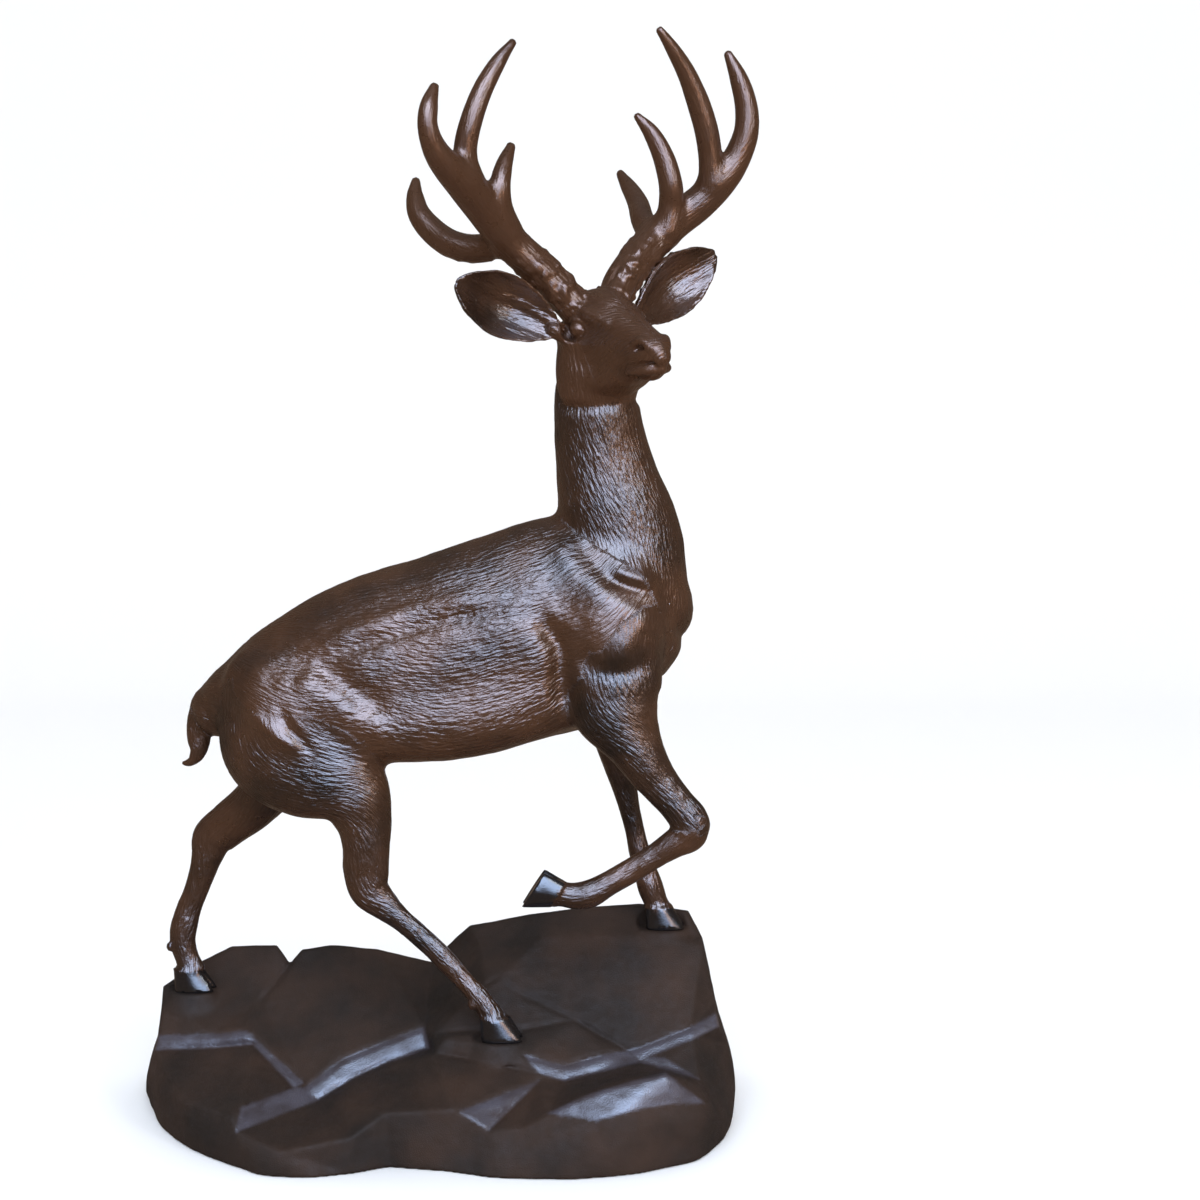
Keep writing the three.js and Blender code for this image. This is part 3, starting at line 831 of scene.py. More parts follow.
@dataclass(frozen=True)
class FaceMass:
    """A small tube of clay that is added to or cut from both sides of the face.

    Attributes:
        rows: Out, forward, up and radius in the head's directions, in mm.
        blend: Width over which it melts in, in mm.
        cut: Whether it is cut away instead of added.
    """

    rows: tuple[tuple[float, float, float, float], ...]
    blend: float
    cut: bool = False

    def work_into(self, clay: Clay, head: HeadFrame, side: int) -> None:
        """Add or cut the tube on one side of the face.

        Formula: the part of the muzzle ahead of MUZZLE_START is shortened by
        MUZZLE_SHORTENING, as a share of its length.

        Args:
            clay: The clay field.
            head: The head that the face belongs to.
            side: 1 for the stag's left side and -1 for its right one.
        """
        table = np.asarray(self.rows, float)
        table[:, 0] *= side
        table[:, 1] -= MUZZLE_SHORTENING * np.maximum(table[:, 1] - MUZZLE_START, 0.0)
        tube = head.limb(np.hstack([table, table[:, 3:]]), Region.HEAD).skin(20)
        if self.cut:
            clay.cut(tube, self.blend)
        else:
            clay.add(tube, self.blend)


# Cheek, brow, cheekbone and temple
CHEEK_AND_BROW = (
    FaceMass(((44, -44, -62, 22), (46, -16, -88, 24), (38, 24, -100, 22), (26, 70, -96, 16)), 16.0),
    FaceMass(((34, 62, -4, 8), (42, 36, 10, 11), (46, 12, 20, 13), (46, -16, 20, 12)), 12.0),
    FaceMass(((50, -40, -26, 14), (52, -18, -31, 11), (48, 14, -36, 9), (38, 50, -40, 8)), 12.0),
    FaceMass(((44, -68, -8, 20), (47, -50, -18, 20), (46, -36, -28, 14)), 14.0),
)

# Upper and lower lid, the nostril's wing and slit, the mouth's line and the lower lip
LIDS_AND_MUZZLE = (
    FaceMass(((45, 19, -12, 3), (54, 12, 4, 4.2), (61, -2, 11.5, 5.2), (60, -17, 8, 4.8),
              (54, -27, -3, 3.4)), 1.5),
    FaceMass(((45, 19, -12, 3), (53, 10, -20, 3.6), (58, -5, -24, 4.2), (56, -19, -18, 3.8),
              (54, -27, -5, 3)), 1.5),
    FaceMass(((30, 136, -42, 5), (27, 148, -38, 7), (22, 162, -42, 7.5), (17, 170, -52, 7)), 6.0),
    FaceMass(((31, 140, -53, 3), (27, 150, -49, 5.5), (21, 162, -50, 6), (15, 172, -55, 4.5),
              (9, 178, -61, 3)), 3.0, cut=True),
    FaceMass(((46, 84, -72, 1.6), (41, 104, -77, 2.6), (35, 130, -79, 3.4), (27, 154, -77, 3.8),
              (14, 172, -76, 4), (0, 180, -76, 4)), 2.0, cut=True),
    FaceMass(((34, 112, -89, 6), (29, 138, -90, 7.5), (19, 158, -89, 8.5), (0, 169, -89, 9)), 5.0),
)

# Steps along an ear's root at which its stalk is given a size, both in mm
EAR_STALK = ((-42, 20), (-4, 18), (28, 13))


def moved(skin: Skin, turn: Array, shift: Array) -> Skin:
    """Turn a skin by a matrix and shift it."""
    return Skin(skin.points @ turn.T + shift, skin.quads, skin.triangles)


def turn_about_y(degrees: float) -> Array:
    """Matrix that turns about the y axis."""
    c, s = math.cos(math.radians(degrees)), math.sin(math.radians(degrees))
    return np.array([[c, 0.0, s], [0.0, 1.0, 0.0], [-s, 0.0, c]])


def lifted(rows: Iterable[Sequence[float]]) -> Array:
    """Raise rows that count height from the lowest sole.

    Args:
        rows: Rows of x, y, height and sizes, in mm.

    Returns:
        The rows with their real heights.
    """
    table = np.asarray(list(rows), float)
    table[:, 2] += LOWEST_PAD
    return table


@dataclass
class Stag:
    """The stag: one casting with its antlers, ears, tail and hooves.

    Attributes:
        voxel: Cell of the clay field in mm.
        faces: Number of triangles that the finished mesh may have.
        tip_reach: How far an antler's tip goes past its last row, in mm.
        hoof_turn: How far the raised hoof is turned about the y axis, in degrees.
        head: The head's own directions.
        hoof: The shape of every hoof.
    """

    voxel: float
    faces: int
    tip_reach: float = 2.0
    hoof_turn: float = 123.0
    head: HeadFrame = HeadFrame()
    hoof: HoofShape = HoofShape()

    def __post_init__(self) -> None:
        """Prepare the limbs."""
        self.limbs = self.body_limbs() + self.head_limbs() + self.antler_limbs()

    def body_limbs(self) -> list[Limb]:
        """Trunk, neck, tail and legs.

        Returns:
            The limbs in the order in which they are joined.
        """
        limbs = [
            Limb(lifted(TRUNK), ACROSS, Region.TRUNK),
            Limb(lifted(NECK), ACROSS, Region.NECK, blend=26),
            Limb(lifted(TAIL), ACROSS, Region.TAIL, blend=10),
            Limb(lifted(RAISED_UPPER), ACROSS, Region.LEG, blend=24),
            Limb(lifted(RAISED_LOWER), ACROSS, Region.SHANK, blend=9),
        ]
        limbs += [Limb(leg.knots(), ACROSS, Region.LEG, blend=24) for leg in STANDING]
        return limbs

    def head_limbs(self) -> list[Limb]:
        """Skull with its muzzle, and the ears' stalks.

        Returns:
            The limbs in the order in which they are joined.
        """
        limbs = [self.head.limb(SKULL, Region.HEAD, power=2.25, blend=16)]
        for ear in EARS:
            root, tip = ear.ends()
            step = unit(tip - root)
            stalk = [[*(root + reach * step), 0.9 * size, size] for reach, size in EAR_STALK]
            limbs.append(self.head.limb(stalk, Region.HEAD, across=1, blend=18))
        return limbs

    def antler_limbs(self) -> list[Limb]:
        """Beams and tines.

        Returns:
            The limbs in the order in which they are joined.
        """
        limbs = []
        for antler in (RIGHT_ANTLER, LEFT_ANTLER):
            for order, rows in enumerate((antler["beam"],) + antler["tines"]):
                table = np.asarray(rows, float)
                table[:, 0] *= antler["side"]
                table[-1, :3] += self.tip_reach * unit(table[-1, :3] - table[-2, :3])
                table = np.hstack([table, table[:, 3:]])
                limbs.append(self.head.limb(table, Region.ANTLER, across=1, blend=16 if order else 8))
        return limbs

    def hoof_places(self) -> list[tuple[Array, Array]]:
        """Turn and place of each of the four hooves.

        Returns:
            A matrix and the sole's place in mm for each hoof, the raised one last.
        """
        places = [(np.eye(3), np.array([*leg.hoof, leg.pad + SOLE_GAP])) for leg in STANDING]
        raised = turn_about_y(self.hoof_turn)
        middle = np.array([221.0, -78.0, 278.0 + LOWEST_PAD])
        sole = middle - raised @ np.array([0, 0, 0.5 * self.hoof.height])
        places.append((raised, sole))
        return places

    def sculpt(self) -> Skin:
        """Blend all masses in clay.

        Returns:
            The smooth skin in mm.
        """
        low, high = (np.array(corner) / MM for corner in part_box("stag"))
        clay = Clay(low - 24, high + 24, self.voxel, 30.0)
        for limb in self.limbs:
            clay.add(limb.skin(), limb.blend)
        self.add_muscles(clay)
        self.add_face(clay)
        for ear in EARS:
            clay.add(ear.skin(self.head), 5.0)
        for turn, shift in self.hoof_places():
            for toe in self.hoof.toes():
                clay.add(moved(toe, turn, shift), 4.0)
        self.add_dewclaws(clay)
        return clay.surface()

    def add_muscles(self, clay: Clay) -> None:
        """Add the belly, shoulder, haunch and brisket masses.

        Args:
            clay: The clay field.
        """
        for side in (-1, 1):
            for pad in BELLY_PADS + SHOULDER_PADS + HAUNCH_PADS:
                table = lifted(pad)
                table[:, 1] = BODY_MIDDLE + side * table[:, 1]
                clay.add(Limb(table, ACROSS, Region.TRUNK).skin(), 24.0)
        clay.add(Limb(lifted(BRISKET), ACROSS, Region.TRUNK).skin(), 18.0)

    def add_face(self, clay: Clay) -> None:
        """Add brows, eyes, lids, cheeks, nose and mouth.

        Args:
            clay: The clay field.
        """
        head = self.head
        turn = head.axes().T
        for side in (-1, 1):
            for mass in CHEEK_AND_BROW:
                mass.work_into(clay, head, side)
            clay.cut(ball(head.world([side * 68, -5, -6]), (20, 25, 21), turn), 6.0)
            clay.add(ball(head.world([side * 52, -5, -6]), (19, 18, 16.5), turn), 0.8)
            for mass in LIDS_AND_MUZZLE:
                mass.work_into(clay, head, side)
        clay.add(ball(head.world([0, 161, -53]), (22, 14, 14), turn), 8.0)
        clay.add(ball(head.world([0, 131, -97]), (20, 26, 12), turn), 9.0)
        clay.add(ball(head.world([0, -14, 40]), (38, 36, 22), turn), 18.0)

    def add_dewclaws(self, clay: Clay) -> None:
        """Add the two small claws behind each fetlock.

        Args:
            clay: The clay field.
        """
        spots = ((FAR_FORE, 408, 0.165), (NEAR_HIND, 88, 0.108), (FAR_HIND, -520, 0.15))
        for leg, x, share in spots:
            z = leg.pad + share * (LOWEST_PAD + leg.root - leg.pad)
            for side in (-1, 1):
                clay.add(ball((x, leg.hoof[1] + side * 9, z), (9, 6, 10)), 4.0)

    def survey(self, points: Array) -> tuple[Array, Array, Array, Array]:
        """Tell for every point which limb it lies on and where.

        Args:
            points: Positions in mm.

        Returns:
            The region numbers, the places along and around the limb in mm, and how
            clearly the point belongs to its limb, from 0 to 1.
        """
        best = np.full(len(points), np.inf)
        second = np.full(len(points), np.inf)
        region = np.zeros(len(points), int)
        along = np.zeros(len(points))
        around = np.zeros(len(points))
        for limb in self.limbs:
            reach = limb.rows[:, 3:].max() + SURVEY_MARGIN
            low, high = limb.centre.min(axis=0) - reach, limb.centre.max(axis=0) + reach
            near = np.flatnonzero(((points > low) & (points < high)).all(axis=1))
            for part in np.array_split(near, max(1, len(near) // SURVEY_CHUNK)):
                level, u, v = limb.locate(points[part])
                better = level < best[part]
                second[part] = np.where(better, best[part], np.minimum(second[part], level))
                chosen = part[better]
                best[chosen] = level[better]
                region[chosen] = limb.region.value
                along[chosen] = u[better]
                around[chosen] = v[better]
        clear = np.clip((second - best) / 0.25, 0.0, 1.0)
        self.mark_ears_and_hooves(points, region, best, along, around)
        return region, along, around, clear

    def mark_ears_and_hooves(self, points: Array, region: Array, level: Array, along_limb: Array,
                             around_limb: Array) -> None:
        """Set the region, and on an ear the flow, of points that lie on an ear or a hoof.

        The antlers end at the brow, and the neck ends at the groove behind the jaw. All
        the arrays but the points and the level are changed in place.

        Args:
            points: Positions in mm.
            region: The region numbers.
            level: How far out each point is from its limb's middle, 1 on its surface.
            along_limb: The places along the limb in mm.
            around_limb: The places around the limb in mm.
        """
        local = self.head.local(points)
        region[(region == Region.ANTLER.value) & (local[:, 2] < 30.0)] = Region.HEAD.value
        jaw = np.array(sorted(((up, forward) for forward, up in JAW.line[:5])))
        ahead = (local[:, 1] > np.interp(local[:, 2], jaw[:, 0], jaw[:, 1])) & (local[:, 2] > jaw[0, 0])
        region[(region == Region.NECK.value) & ahead] = Region.HEAD.value
        for ear in EARS:
            root, tip = ear.ends()
            along = unit(tip - root)
            share = (local - root) @ along / ear.length
            off = np.linalg.norm(local - root - share[:, None] * ear.length * along, axis=1)
            free = (region != Region.ANTLER.value) | (level > 1.3)
            on_ear = (share > 0.1) & (share < 1.1) & (off < 75) & free
            region[on_ear] = Region.EAR.value
            along_limb[on_ear] = (share * ear.length)[on_ear]
            wide = np.cross(along, (0.0, 1.0, 0.0))
            around_limb[on_ear] = ((local - root) @ wide)[on_ear]
        for turn, shift in self.hoof_places():
            inside = (points - shift) @ turn
            on_hoof = ((np.abs(inside[:, 0] + 8) < 52) & (np.abs(inside[:, 1]) < 34)
                       & (inside[:, 2] < self.hoof.height - 4) & (inside[:, 2] > -8))
            region[on_hoof] = Region.HOOF.value

    def relief(self, skin: Skin) -> Skin:
        """Work muscles' creases, chased hair and antler grooves into the skin.

        Formula: every point moves along its normal by the sum of the creases and of
        noises stretched along the coat, each weighted by the region.

        Args:
            skin: The sculpted skin in mm.

        Returns:
            The same skin with its points moved.
        """
        points = skin.points
        region, along, around, clear = self.survey(points)
        normals = skin_normals(skin)
        height = np.zeros(len(points))
        flat = points[:, [0, 2]] - (0.0, LOWEST_PAD)
        body = np.isin(region, (Region.TRUNK.value, Region.NECK.value, Region.LEG.value))
        facing = np.clip(1.6 * np.abs(normals[:, 1]) - 0.25, 0.0, 1.0) * body
        for crease in CREASES:
            line = np.asarray(crease.line)
            low, high = line.min(axis=0) - 60, line.max(axis=0) + 60
            near = np.flatnonzero(((flat > low) & (flat < high)).all(axis=1) & (facing > 0))
            height[near] -= crease.push(flat[near]) * facing[near]
        sway_along = along + 12.0 * value_noise(points / 23.0, 31)
        sway_around = around + 3.5 * value_noise(points / 40.0, 33) + 0.7 * value_noise(points / 11.0, 35)
        sway = np.stack([sway_along, sway_around], axis=-1)
        hair = STROKE_DEPTH * value_noise(sway / STROKE_CELLS, 5)
        hair = hair + STROKE_DEPTH * value_noise(sway / FINE_CELLS, 9)
        height += hair * by_region(STROKE_HEIGHT, region) * (0.35 + 0.65 * clear)
        height += 1.6 * layered_noise(points / 70.0, 2, 3) * body
        local = self.head.local(points)
        beside = np.flatnonzero((np.abs(local[:, 0]) > 12) & (np.abs(local) < (90, 120, 175)).all(axis=1))
        height[beside] -= JAW.push(local[beside][:, 1:])
        height += self.antler_relief(points, region, along, around)
        lines = value_noise(np.stack([along / 90.0, around / 5.0], axis=-1), 27)
        height += 1.1 * lines * (region == Region.EAR.value)
        return Skin(points + normals * height[:, None], skin.quads, skin.triangles)

    def antler_relief(self, points: Array, region: Array, along: Array, around: Array) -> Array:
        """Pearls and grooves, strong at the antlers' foot and fading up the tines.

        Formula: bumps where a noise of 12 mm cells is high, plus long grooves of
        noise stretched along the beam.

        Args:
            points: Positions in mm.
            region: The region numbers.
            along: The places along the limb in mm.
            around: The places around the limb in mm.

        Returns:
            One height in mm for each point, 0 away from the antlers.
        """
        local = self.head.local(points)
        foot = np.clip((225.0 - local[:, 2] - 0.25 * np.abs(local[:, 0])) / 120.0, 0.0, 1.0)
        mask = (region == Region.ANTLER.value).astype(float)
        pearls = np.maximum(value_noise(points / 12.0, 21) + 0.05, 0.0) * 5.5 * foot
        grooves = value_noise(np.stack([along / 60.0, around / 8.0], axis=-1), 23)
        return mask * (pearls + grooves * (0.5 + 2.4 * foot))

    def build(self) -> Piece:
        """Sculpt, work the relief, thin the mesh and store the finish's guides.

        Returns:
            The finished mesh object.
        """
        skin = self.relief(self.sculpt())
        LOG.info("stag skin has %d points", len(skin.points))
        piece = to_object("stag_cast", skin)
        keep = self.detail_weight(skin.points)
        thin_mesh(piece, keep, self.faces)
        self.store_guides(piece)
        return piece

    def detail_weight(self, points: Array) -> Array:
        """How strongly each point resists thinning: the face most.

        Args:
            points: Positions in mm.

        Returns:
            1 on the face and 0.35 elsewhere.
        """
        local = self.head.local(points)
        face = (np.abs(local[:, 0]) < 90) & (local[:, 1] > -70) & (local[:, 2] > -120) & (local[:, 2] < 120)
        return np.where(face, 1.0, 0.35)

    def store_guides(self, piece: Piece) -> None:
        """Write the flow map and the finish masks that the bronze reads.

        Args:
            piece: The stag's finished mesh object.
        """
        mesh = piece.data
        points = mesh_points(mesh) / MM
        region, along, around, clear = self.survey(points)
        corner = np.empty(len(mesh.loops), dtype=np.int32)
        mesh.loops.foreach_get("vertex_index", corner)
        flow = mesh.uv_layers.new(name="flow")
        pair = np.stack([along, around], axis=-1)[corner] * MM
        flow.data.foreach_set("uv", pair.astype(np.float32).ravel())
        store_value(mesh, "hair", by_region(STROKE_BUMP, region) * (0.4 + 0.6 * clear))
        # The hooves share the mask that paints a reflection on the rock's ledges; here it gives only their
        # own darker colour and gloss.
        store_value(mesh, "polish_and_painted_sheen", (region == Region.HOOF.value).astype(float))
        store_value(mesh, "warmth", by_region(WARMTH, region))


# Rock


@dataclass(frozen=True)
class Sighting:
    """The picture's camera, which turns a place in the picture into a real one.

    Attributes:
        place: The camera's place in mm.
        pitch: How far it looks down, in degrees.
        focus: Focal length in pixels of a picture 1200 wide.
        middle: The picture's middle in pixels.
    """

    place: tuple[float, float, float] = (326.0, -3100.0, 1300.0)
    pitch: float = 5.5
    focus: float = 1666.7
    middle: float = 600.0

    def axes(self) -> tuple[Array, Array]:
        """Return the directions forward and up."""
        c, s = math.cos(math.radians(self.pitch)), math.sin(math.radians(self.pitch))
        return np.array([0.0, c, -s]), np.array([0.0, s, c])

    def ray_depth(self, u: float, v: float, depth: float | None) -> float:
        """Distance along the view at which a sight has a given y, or meets the floor.

        Formula: the ray is forward + right (u - m) / f - up (v - m) / f.

        Args:
            u: Place across the picture.
            v: Place down the picture.
            depth: The real y in mm, or none for a sight on the floor.

        Returns:
            The distance along the view in mm.
        """
        forward, up = self.axes()
        ray = forward - up * (v - self.middle) / self.focus
        if depth is None:
            return -self.place[2] / ray[2]
        return (depth - self.place[1]) / ray[1]

    def picture(self, points: Array) -> tuple[Array, Array, Array]:
        """Find where real points are seen.

        Args:
            points: Positions in mm.

        Returns:
            The places across and down the picture, and the distances along the view.
        """
        forward, up = (axis.astype(np.float32) for axis in self.axes())
        gap = points - np.asarray(self.place, dtype=np.float32)
        along = gap @ forward
        return (self.middle + self.focus * gap[..., 0] / along,
                self.middle - self.focus * (gap @ up) / along, along)


def smooth_larger(a: Array, b: Array, width: float) -> Array:
    """The larger of two fields, rounded where they are nearly equal."""
    h = np.maximum(width - np.abs(a - b), 0.0) / width
    return np.maximum(a, b) + h * h * width * 0.25


def sampled(table: Array, column: Array, row: Array) -> Array:
    """Read a table between its cells, mixing the four nearest values.

    Args:
        table: Values by column and row.
        column: Places along the first axis, in cells.
        row: Places along the second axis, in cells.

    Returns:
        One value for each place.
    """
    i, j = column.astype(np.int32), row.astype(np.int32)
    s, t = column - i, row - j
    low = table[i, j] * (1 - s) + table[i + 1, j] * s
    high = table[i, j + 1] * (1 - s) + table[i + 1, j + 1] * s
    return low * (1 - t) + high * t


def away_from(names: str, u: Array, v: Array) -> Array:
    """Distance in pixels from an open line of sights.

    Formula: the least distance to any of the line's straight stretches.

    Args:
        names: The sights' names in order, parted by spaces.
        u: Places across the picture.
        v: Places down the picture.

    Returns:
        One distance for each place.
    """
    line = np.array([SIGHTS[name][:2] for name in names.split()])
    away = np.full(u.shape, 1e6, dtype=np.float32)
    for here, after in zip(line, line[1:]):
        step = after - here
        t = np.clip(((u - here[0]) * step[0] + (v - here[1]) * step[1]) / max(step @ step, 1e-6), 0.0, 1.0)
        away = np.minimum(away, np.hypot(u - here[0] - t * step[0], v - here[1] - t * step[1]))
    return away


def outside_by(names: str, u: Array, v: Array) -> Array:
    """Distance in pixels from a closed line of sights, positive outside it.

    Formula: the distance to the line, with the sign from the count of sides that a
    level line from the place crosses.

    Args:
        names: The sights' names in order, parted by spaces.
        u: Places across the picture.
        v: Places down the picture.

    Returns:
        One distance for each place.
    """
    rim = np.array([SIGHTS[name][:2] for name in names.split()])
    away = away_from(names + " " + names.split()[0], u, v)
    inside = np.zeros(u.shape, dtype=bool)
    for here, after in zip(rim, np.roll(rim, -1, axis=0)):
        step = after - here
        crossing = (here[1] > v) != (after[1] > v)
        rate = step[0] / (step[1] if step[1] else 1e-6)
        inside ^= crossing & (u < here[0] + (v - here[1]) * rate)
    return np.where(inside, -away, away)


def softened(field: Array) -> Array:
    """Average each cell with its neighbours along every axis, to round the edges.

    Args:
        field: Values by cell.

    Returns:
        The averaged values, as many as before.
    """
    for axis in range(3):
        ends = [(1, 1) if k == axis else (0, 0) for k in range(3)]
        line = np.moveaxis(np.pad(field, ends, mode="edge"), axis, 0)
        field = np.moveaxis(0.25 * (line[:-2] + line[2:]) + 0.5 * line[1:-1], 0, axis)
    return field


def smooth_smaller(a: Array, b: Array, width: float) -> Array:
    """The smaller of two fields, rounded where they are nearly equal."""
    return -smooth_larger(-a, -b, width)


# Corners of the rock: across and down in the picture, and real depth y in mm (None: floor)
SIGHTS: dict[str, tuple[float, float, float | None]] = {
    "heel_rock": (163, 986, 120), "left_shoulder": (200, 962, 190), "left_peak": (232, 946, 200),
    "notch_left": (277, 945, 190), "notch": (290, 963, 160), "notch_right": (302, 949, 180),
    "mid_peak": (330, 945, 185), "mid_dip": (378, 949, 190), "mid_end": (432, 962, 195),
    "rise": (449, 944, 190), "right_start": (470, 925, 165), "right_mid": (530, 914, 158),
    "right_high": (590, 907, 156), "right_peak": (640, 904, 156), "right_end": (688, 911, 146),
    "right_corner": (702, 938, 110), "right_upper": (716, 1000, 50), "right_wall": (729, 1045, 30),
    "right_bulge": (740, 1090, 0), "right_low": (738, 1118, -50), "floor_l": (726, 1140, None),
    "floor_k": (700, 1163, None), "floor_j": (620, 1181, None), "floor_i": (560, 1184, None),
    "floor_h": (500, 1181, None), "floor_g": (440, 1172, None), "floor_f": (390, 1168, None),
    "floor_e": (350, 1175, None), "floor_d": (290, 1184, None), "floor_c": (240, 1180, None),
    "floor_b": (200, 1163, None), "floor_a": (163, 1140, None), "left_low": (147, 1116, -10),
    "left_bulge": (140, 1092, 30), "left_waist": (149, 1066, 36), "left_band": (158, 1036, 52),
    "left_top": (161, 1010, 92),
    "split_mid": (262, 1000, 95), "split_low": (246, 1031, 15),
    "ledge_a_top": (208, 1035, 32), "ledge_a_foot": (214, 1048, 20), "ledge_a_side": (155, 1050, 40),
    "ledge_a_end": (253, 1044, 3), "slab_corner": (303, 1083, -66), "slab_toe": (294, 1088, -80),
    "ledge_b_tip": (236, 1132, -222), "ledge_b_start": (241, 1108, -186), "ledge_b_top": (305, 1088, -78),
    "ledge_b_rise": (342, 1060, -42), "ledge_b_high": (378, 1045, -16), "ledge_b_end": (424, 1028, -2),
    "foot_b_low": (318, 1100, -92), "foot_b_mid": (352, 1079, -60), "foot_b_high": (386, 1063, -34),
    "foot_b_end": (429, 1048, -24),
    "apron_left": (177, 1098, -130), "apron_corner": (232, 1118, -208), "apron_toe": (280, 1152, -262),
    "apron_mid": (352, 1137, -250), "apron_bay": (385, 1113, -226), "apron_right": (450, 1109, -235),
    "apron_hollow": (345, 1100, -140),
    "seat_left": (432, 1036, -42), "seat_slope": (467, 1003, -5), "seat_peak_left": (486, 985, 12),
    "seat_peak": (501, 976, 22), "seam_start": (506, 986, 10), "seam_a": (530, 998, -2),
    "seam_b": (575, 1020, -28), "seam_end": (628, 1051, -62), "wall_split": (455, 975, 110),
    "brow_left": (480, 945, 115), "brow_mid": (545, 936, 98), "brow_right": (640, 934, 86),
    "brow_end": (703, 944, 80),
    "seat_front_a": (446, 1036, -72), "seat_front_b": (490, 1043, -97), "seat_front_c": (525, 1056, -102),
    "seat_foot_a": (434, 1053, -82), "seat_foot_b": (490, 1062, -107), "seat_foot_c": (541, 1074, -122),
    "bank_a": (565, 1066, -104), "bank_b": (605, 1055, -84), "bank_foot_a": (564, 1081, -124),
    "bank_foot_b": (608, 1070, -104), "bank_foot_end": (640, 1062, -82),
    "shelf_a": (642, 1047, -60), "shelf_b": (690, 1028, -44), "shelf_end": (716, 1014, -5),
    "shelf_foot_a": (648, 1057, -74), "shelf_foot_b": (693, 1039, -58), "shelf_foot_end": (719, 1026, -18),
    "back_b": (664, 1058, -86), "back_c": (699, 1079, -126), "back_foot": (664, 1069, -102),
    "seat_back_a": (478, 1031, -52), "seat_back_b": (520, 1030, -50),
    "tri_left": (460, 1112, -233), "tri_low": (489, 1130, -240), "tri_right": (540, 1080, -130),
    "crest_a": (520, 1128, -246), "crest_b": (549, 1113, -240), "crest_c": (590, 1094, -232),
    "crest_d": (640, 1079, -222), "crest_e": (666, 1073, -215), "crest_f": (704, 1103, -208),
    "crest_g": (722, 1120, -150),
    "swell_b": (553, 1134, -262), "swell_c": (596, 1120, -260), "swell_d": (643, 1108, -257),
    "swell_e": (674, 1103, -247), "swell_f": (699, 1128, -226),
}

# Closed line round the rock, and the lines where its plain faces meet
OUTER = (
    "heel_rock left_shoulder left_peak notch_left notch notch_right mid_peak mid_dip mid_end rise "
    "right_start right_mid right_high right_peak right_end right_corner right_upper right_wall "
    "right_bulge right_low floor_l floor_k floor_j floor_i floor_h floor_g floor_f floor_e floor_d "
    "floor_c floor_b floor_a left_low left_bulge left_waist left_band left_top heel_rock"
)
FOLDS = (
    "notch split_mid split_low ledge_a_top left_band",
    "split_low ledge_a_end ledge_a_foot ledge_a_side",
    "split_low slab_corner ledge_b_top",
    "ledge_a_end slab_toe ledge_b_start",
    "slab_toe ledge_b_top ledge_b_rise ledge_b_high ledge_b_end seat_left",
    "ledge_b_start ledge_b_tip foot_b_low foot_b_mid foot_b_high foot_b_end seat_foot_a",
    "left_bulge apron_left apron_corner ledge_b_start",
    "apron_corner ledge_b_tip apron_toe apron_mid apron_bay apron_right tri_left tri_low crest_a",
    "foot_b_low apron_hollow apron_bay",
    "rise wall_split seat_slope",
    "seat_foot_a seat_left seat_slope seat_peak_left seat_peak seam_start seam_a seam_b seam_end",
    "right_start brow_left brow_mid brow_right brow_end",
    "brow_left wall_split",
    "seat_left seat_front_a seat_front_b seat_front_c bank_a bank_b seam_end shelf_a shelf_b shelf_end",
    "seat_left seat_back_a seat_back_b seam_b",
    "seat_foot_a seat_foot_b seat_foot_c bank_foot_a bank_foot_b bank_foot_end shelf_foot_a shelf_foot_b "
    "shelf_foot_end",
    "shelf_foot_a back_b back_c crest_g", "bank_foot_end back_foot back_c",
    "tri_left tri_right tri_low", "seat_foot_c tri_right",
    "crest_a crest_b crest_c crest_d crest_e crest_f crest_g right_low",
    "crest_a swell_b swell_c swell_d swell_e swell_f floor_k",
    "tri_right crest_b", "crest_f swell_f",
)

# Closed lines round the ledges that get a gloss and a painted bluish reflection of the sky, and the open
# lines of the deep cracks
SHEEN_LEDGES = (
    "left_band ledge_a_top split_low ledge_a_end ledge_a_foot ledge_a_side",
    "split_low ledge_a_end slab_toe slab_corner",
    "ledge_b_start slab_toe ledge_b_top ledge_b_rise ledge_b_high ledge_b_end foot_b_end foot_b_high "
    "foot_b_mid foot_b_low ledge_b_tip",
    "seat_front_c bank_a bank_b seam_end bank_foot_end bank_foot_b bank_foot_a seat_foot_c",
    "seam_end shelf_a shelf_b shelf_end shelf_foot_end shelf_foot_b shelf_foot_a bank_foot_end",
    "bank_foot_end shelf_foot_a back_b back_c back_foot",
    "tri_left tri_right tri_low",
    "crest_b crest_c crest_d crest_e crest_f swell_e swell_d swell_c",
)
CRACKS = (
    "left_band ledge_a_top split_low slab_corner ledge_b_top ledge_b_rise ledge_b_high ledge_b_end",
    "ledge_a_side ledge_a_foot ledge_a_end slab_toe ledge_b_start",
    "foot_b_low foot_b_mid foot_b_high foot_b_end seat_foot_a seat_foot_b seat_foot_c bank_foot_a "
    "bank_foot_b",
    "wall_split seat_slope seat_peak_left seat_peak seam_start seam_a seam_b seam_end shelf_a shelf_b "
    "shelf_end",
    "seat_left seat_front_a seat_front_b seat_front_c bank_a bank_b seam_end",
    "notch split_mid split_low", "bank_foot_end back_foot back_c crest_g", "tri_left tri_right tri_low",
    "seat_left seat_back_a seat_back_b seam_b",
)

# The rock's outline on the floor, corner by corner in mm
FOOTPRINT = (
    (-598, 150), (-556, 30), (-508, -75), (-386, -196), (-252, -281), (60, -283), (308, -288),
    (420, -254), (516, -205), (576, -110), (595, 0), (600, 110), (560, 248), (410, 287),
    (-396, 287), (-552, 243),
)


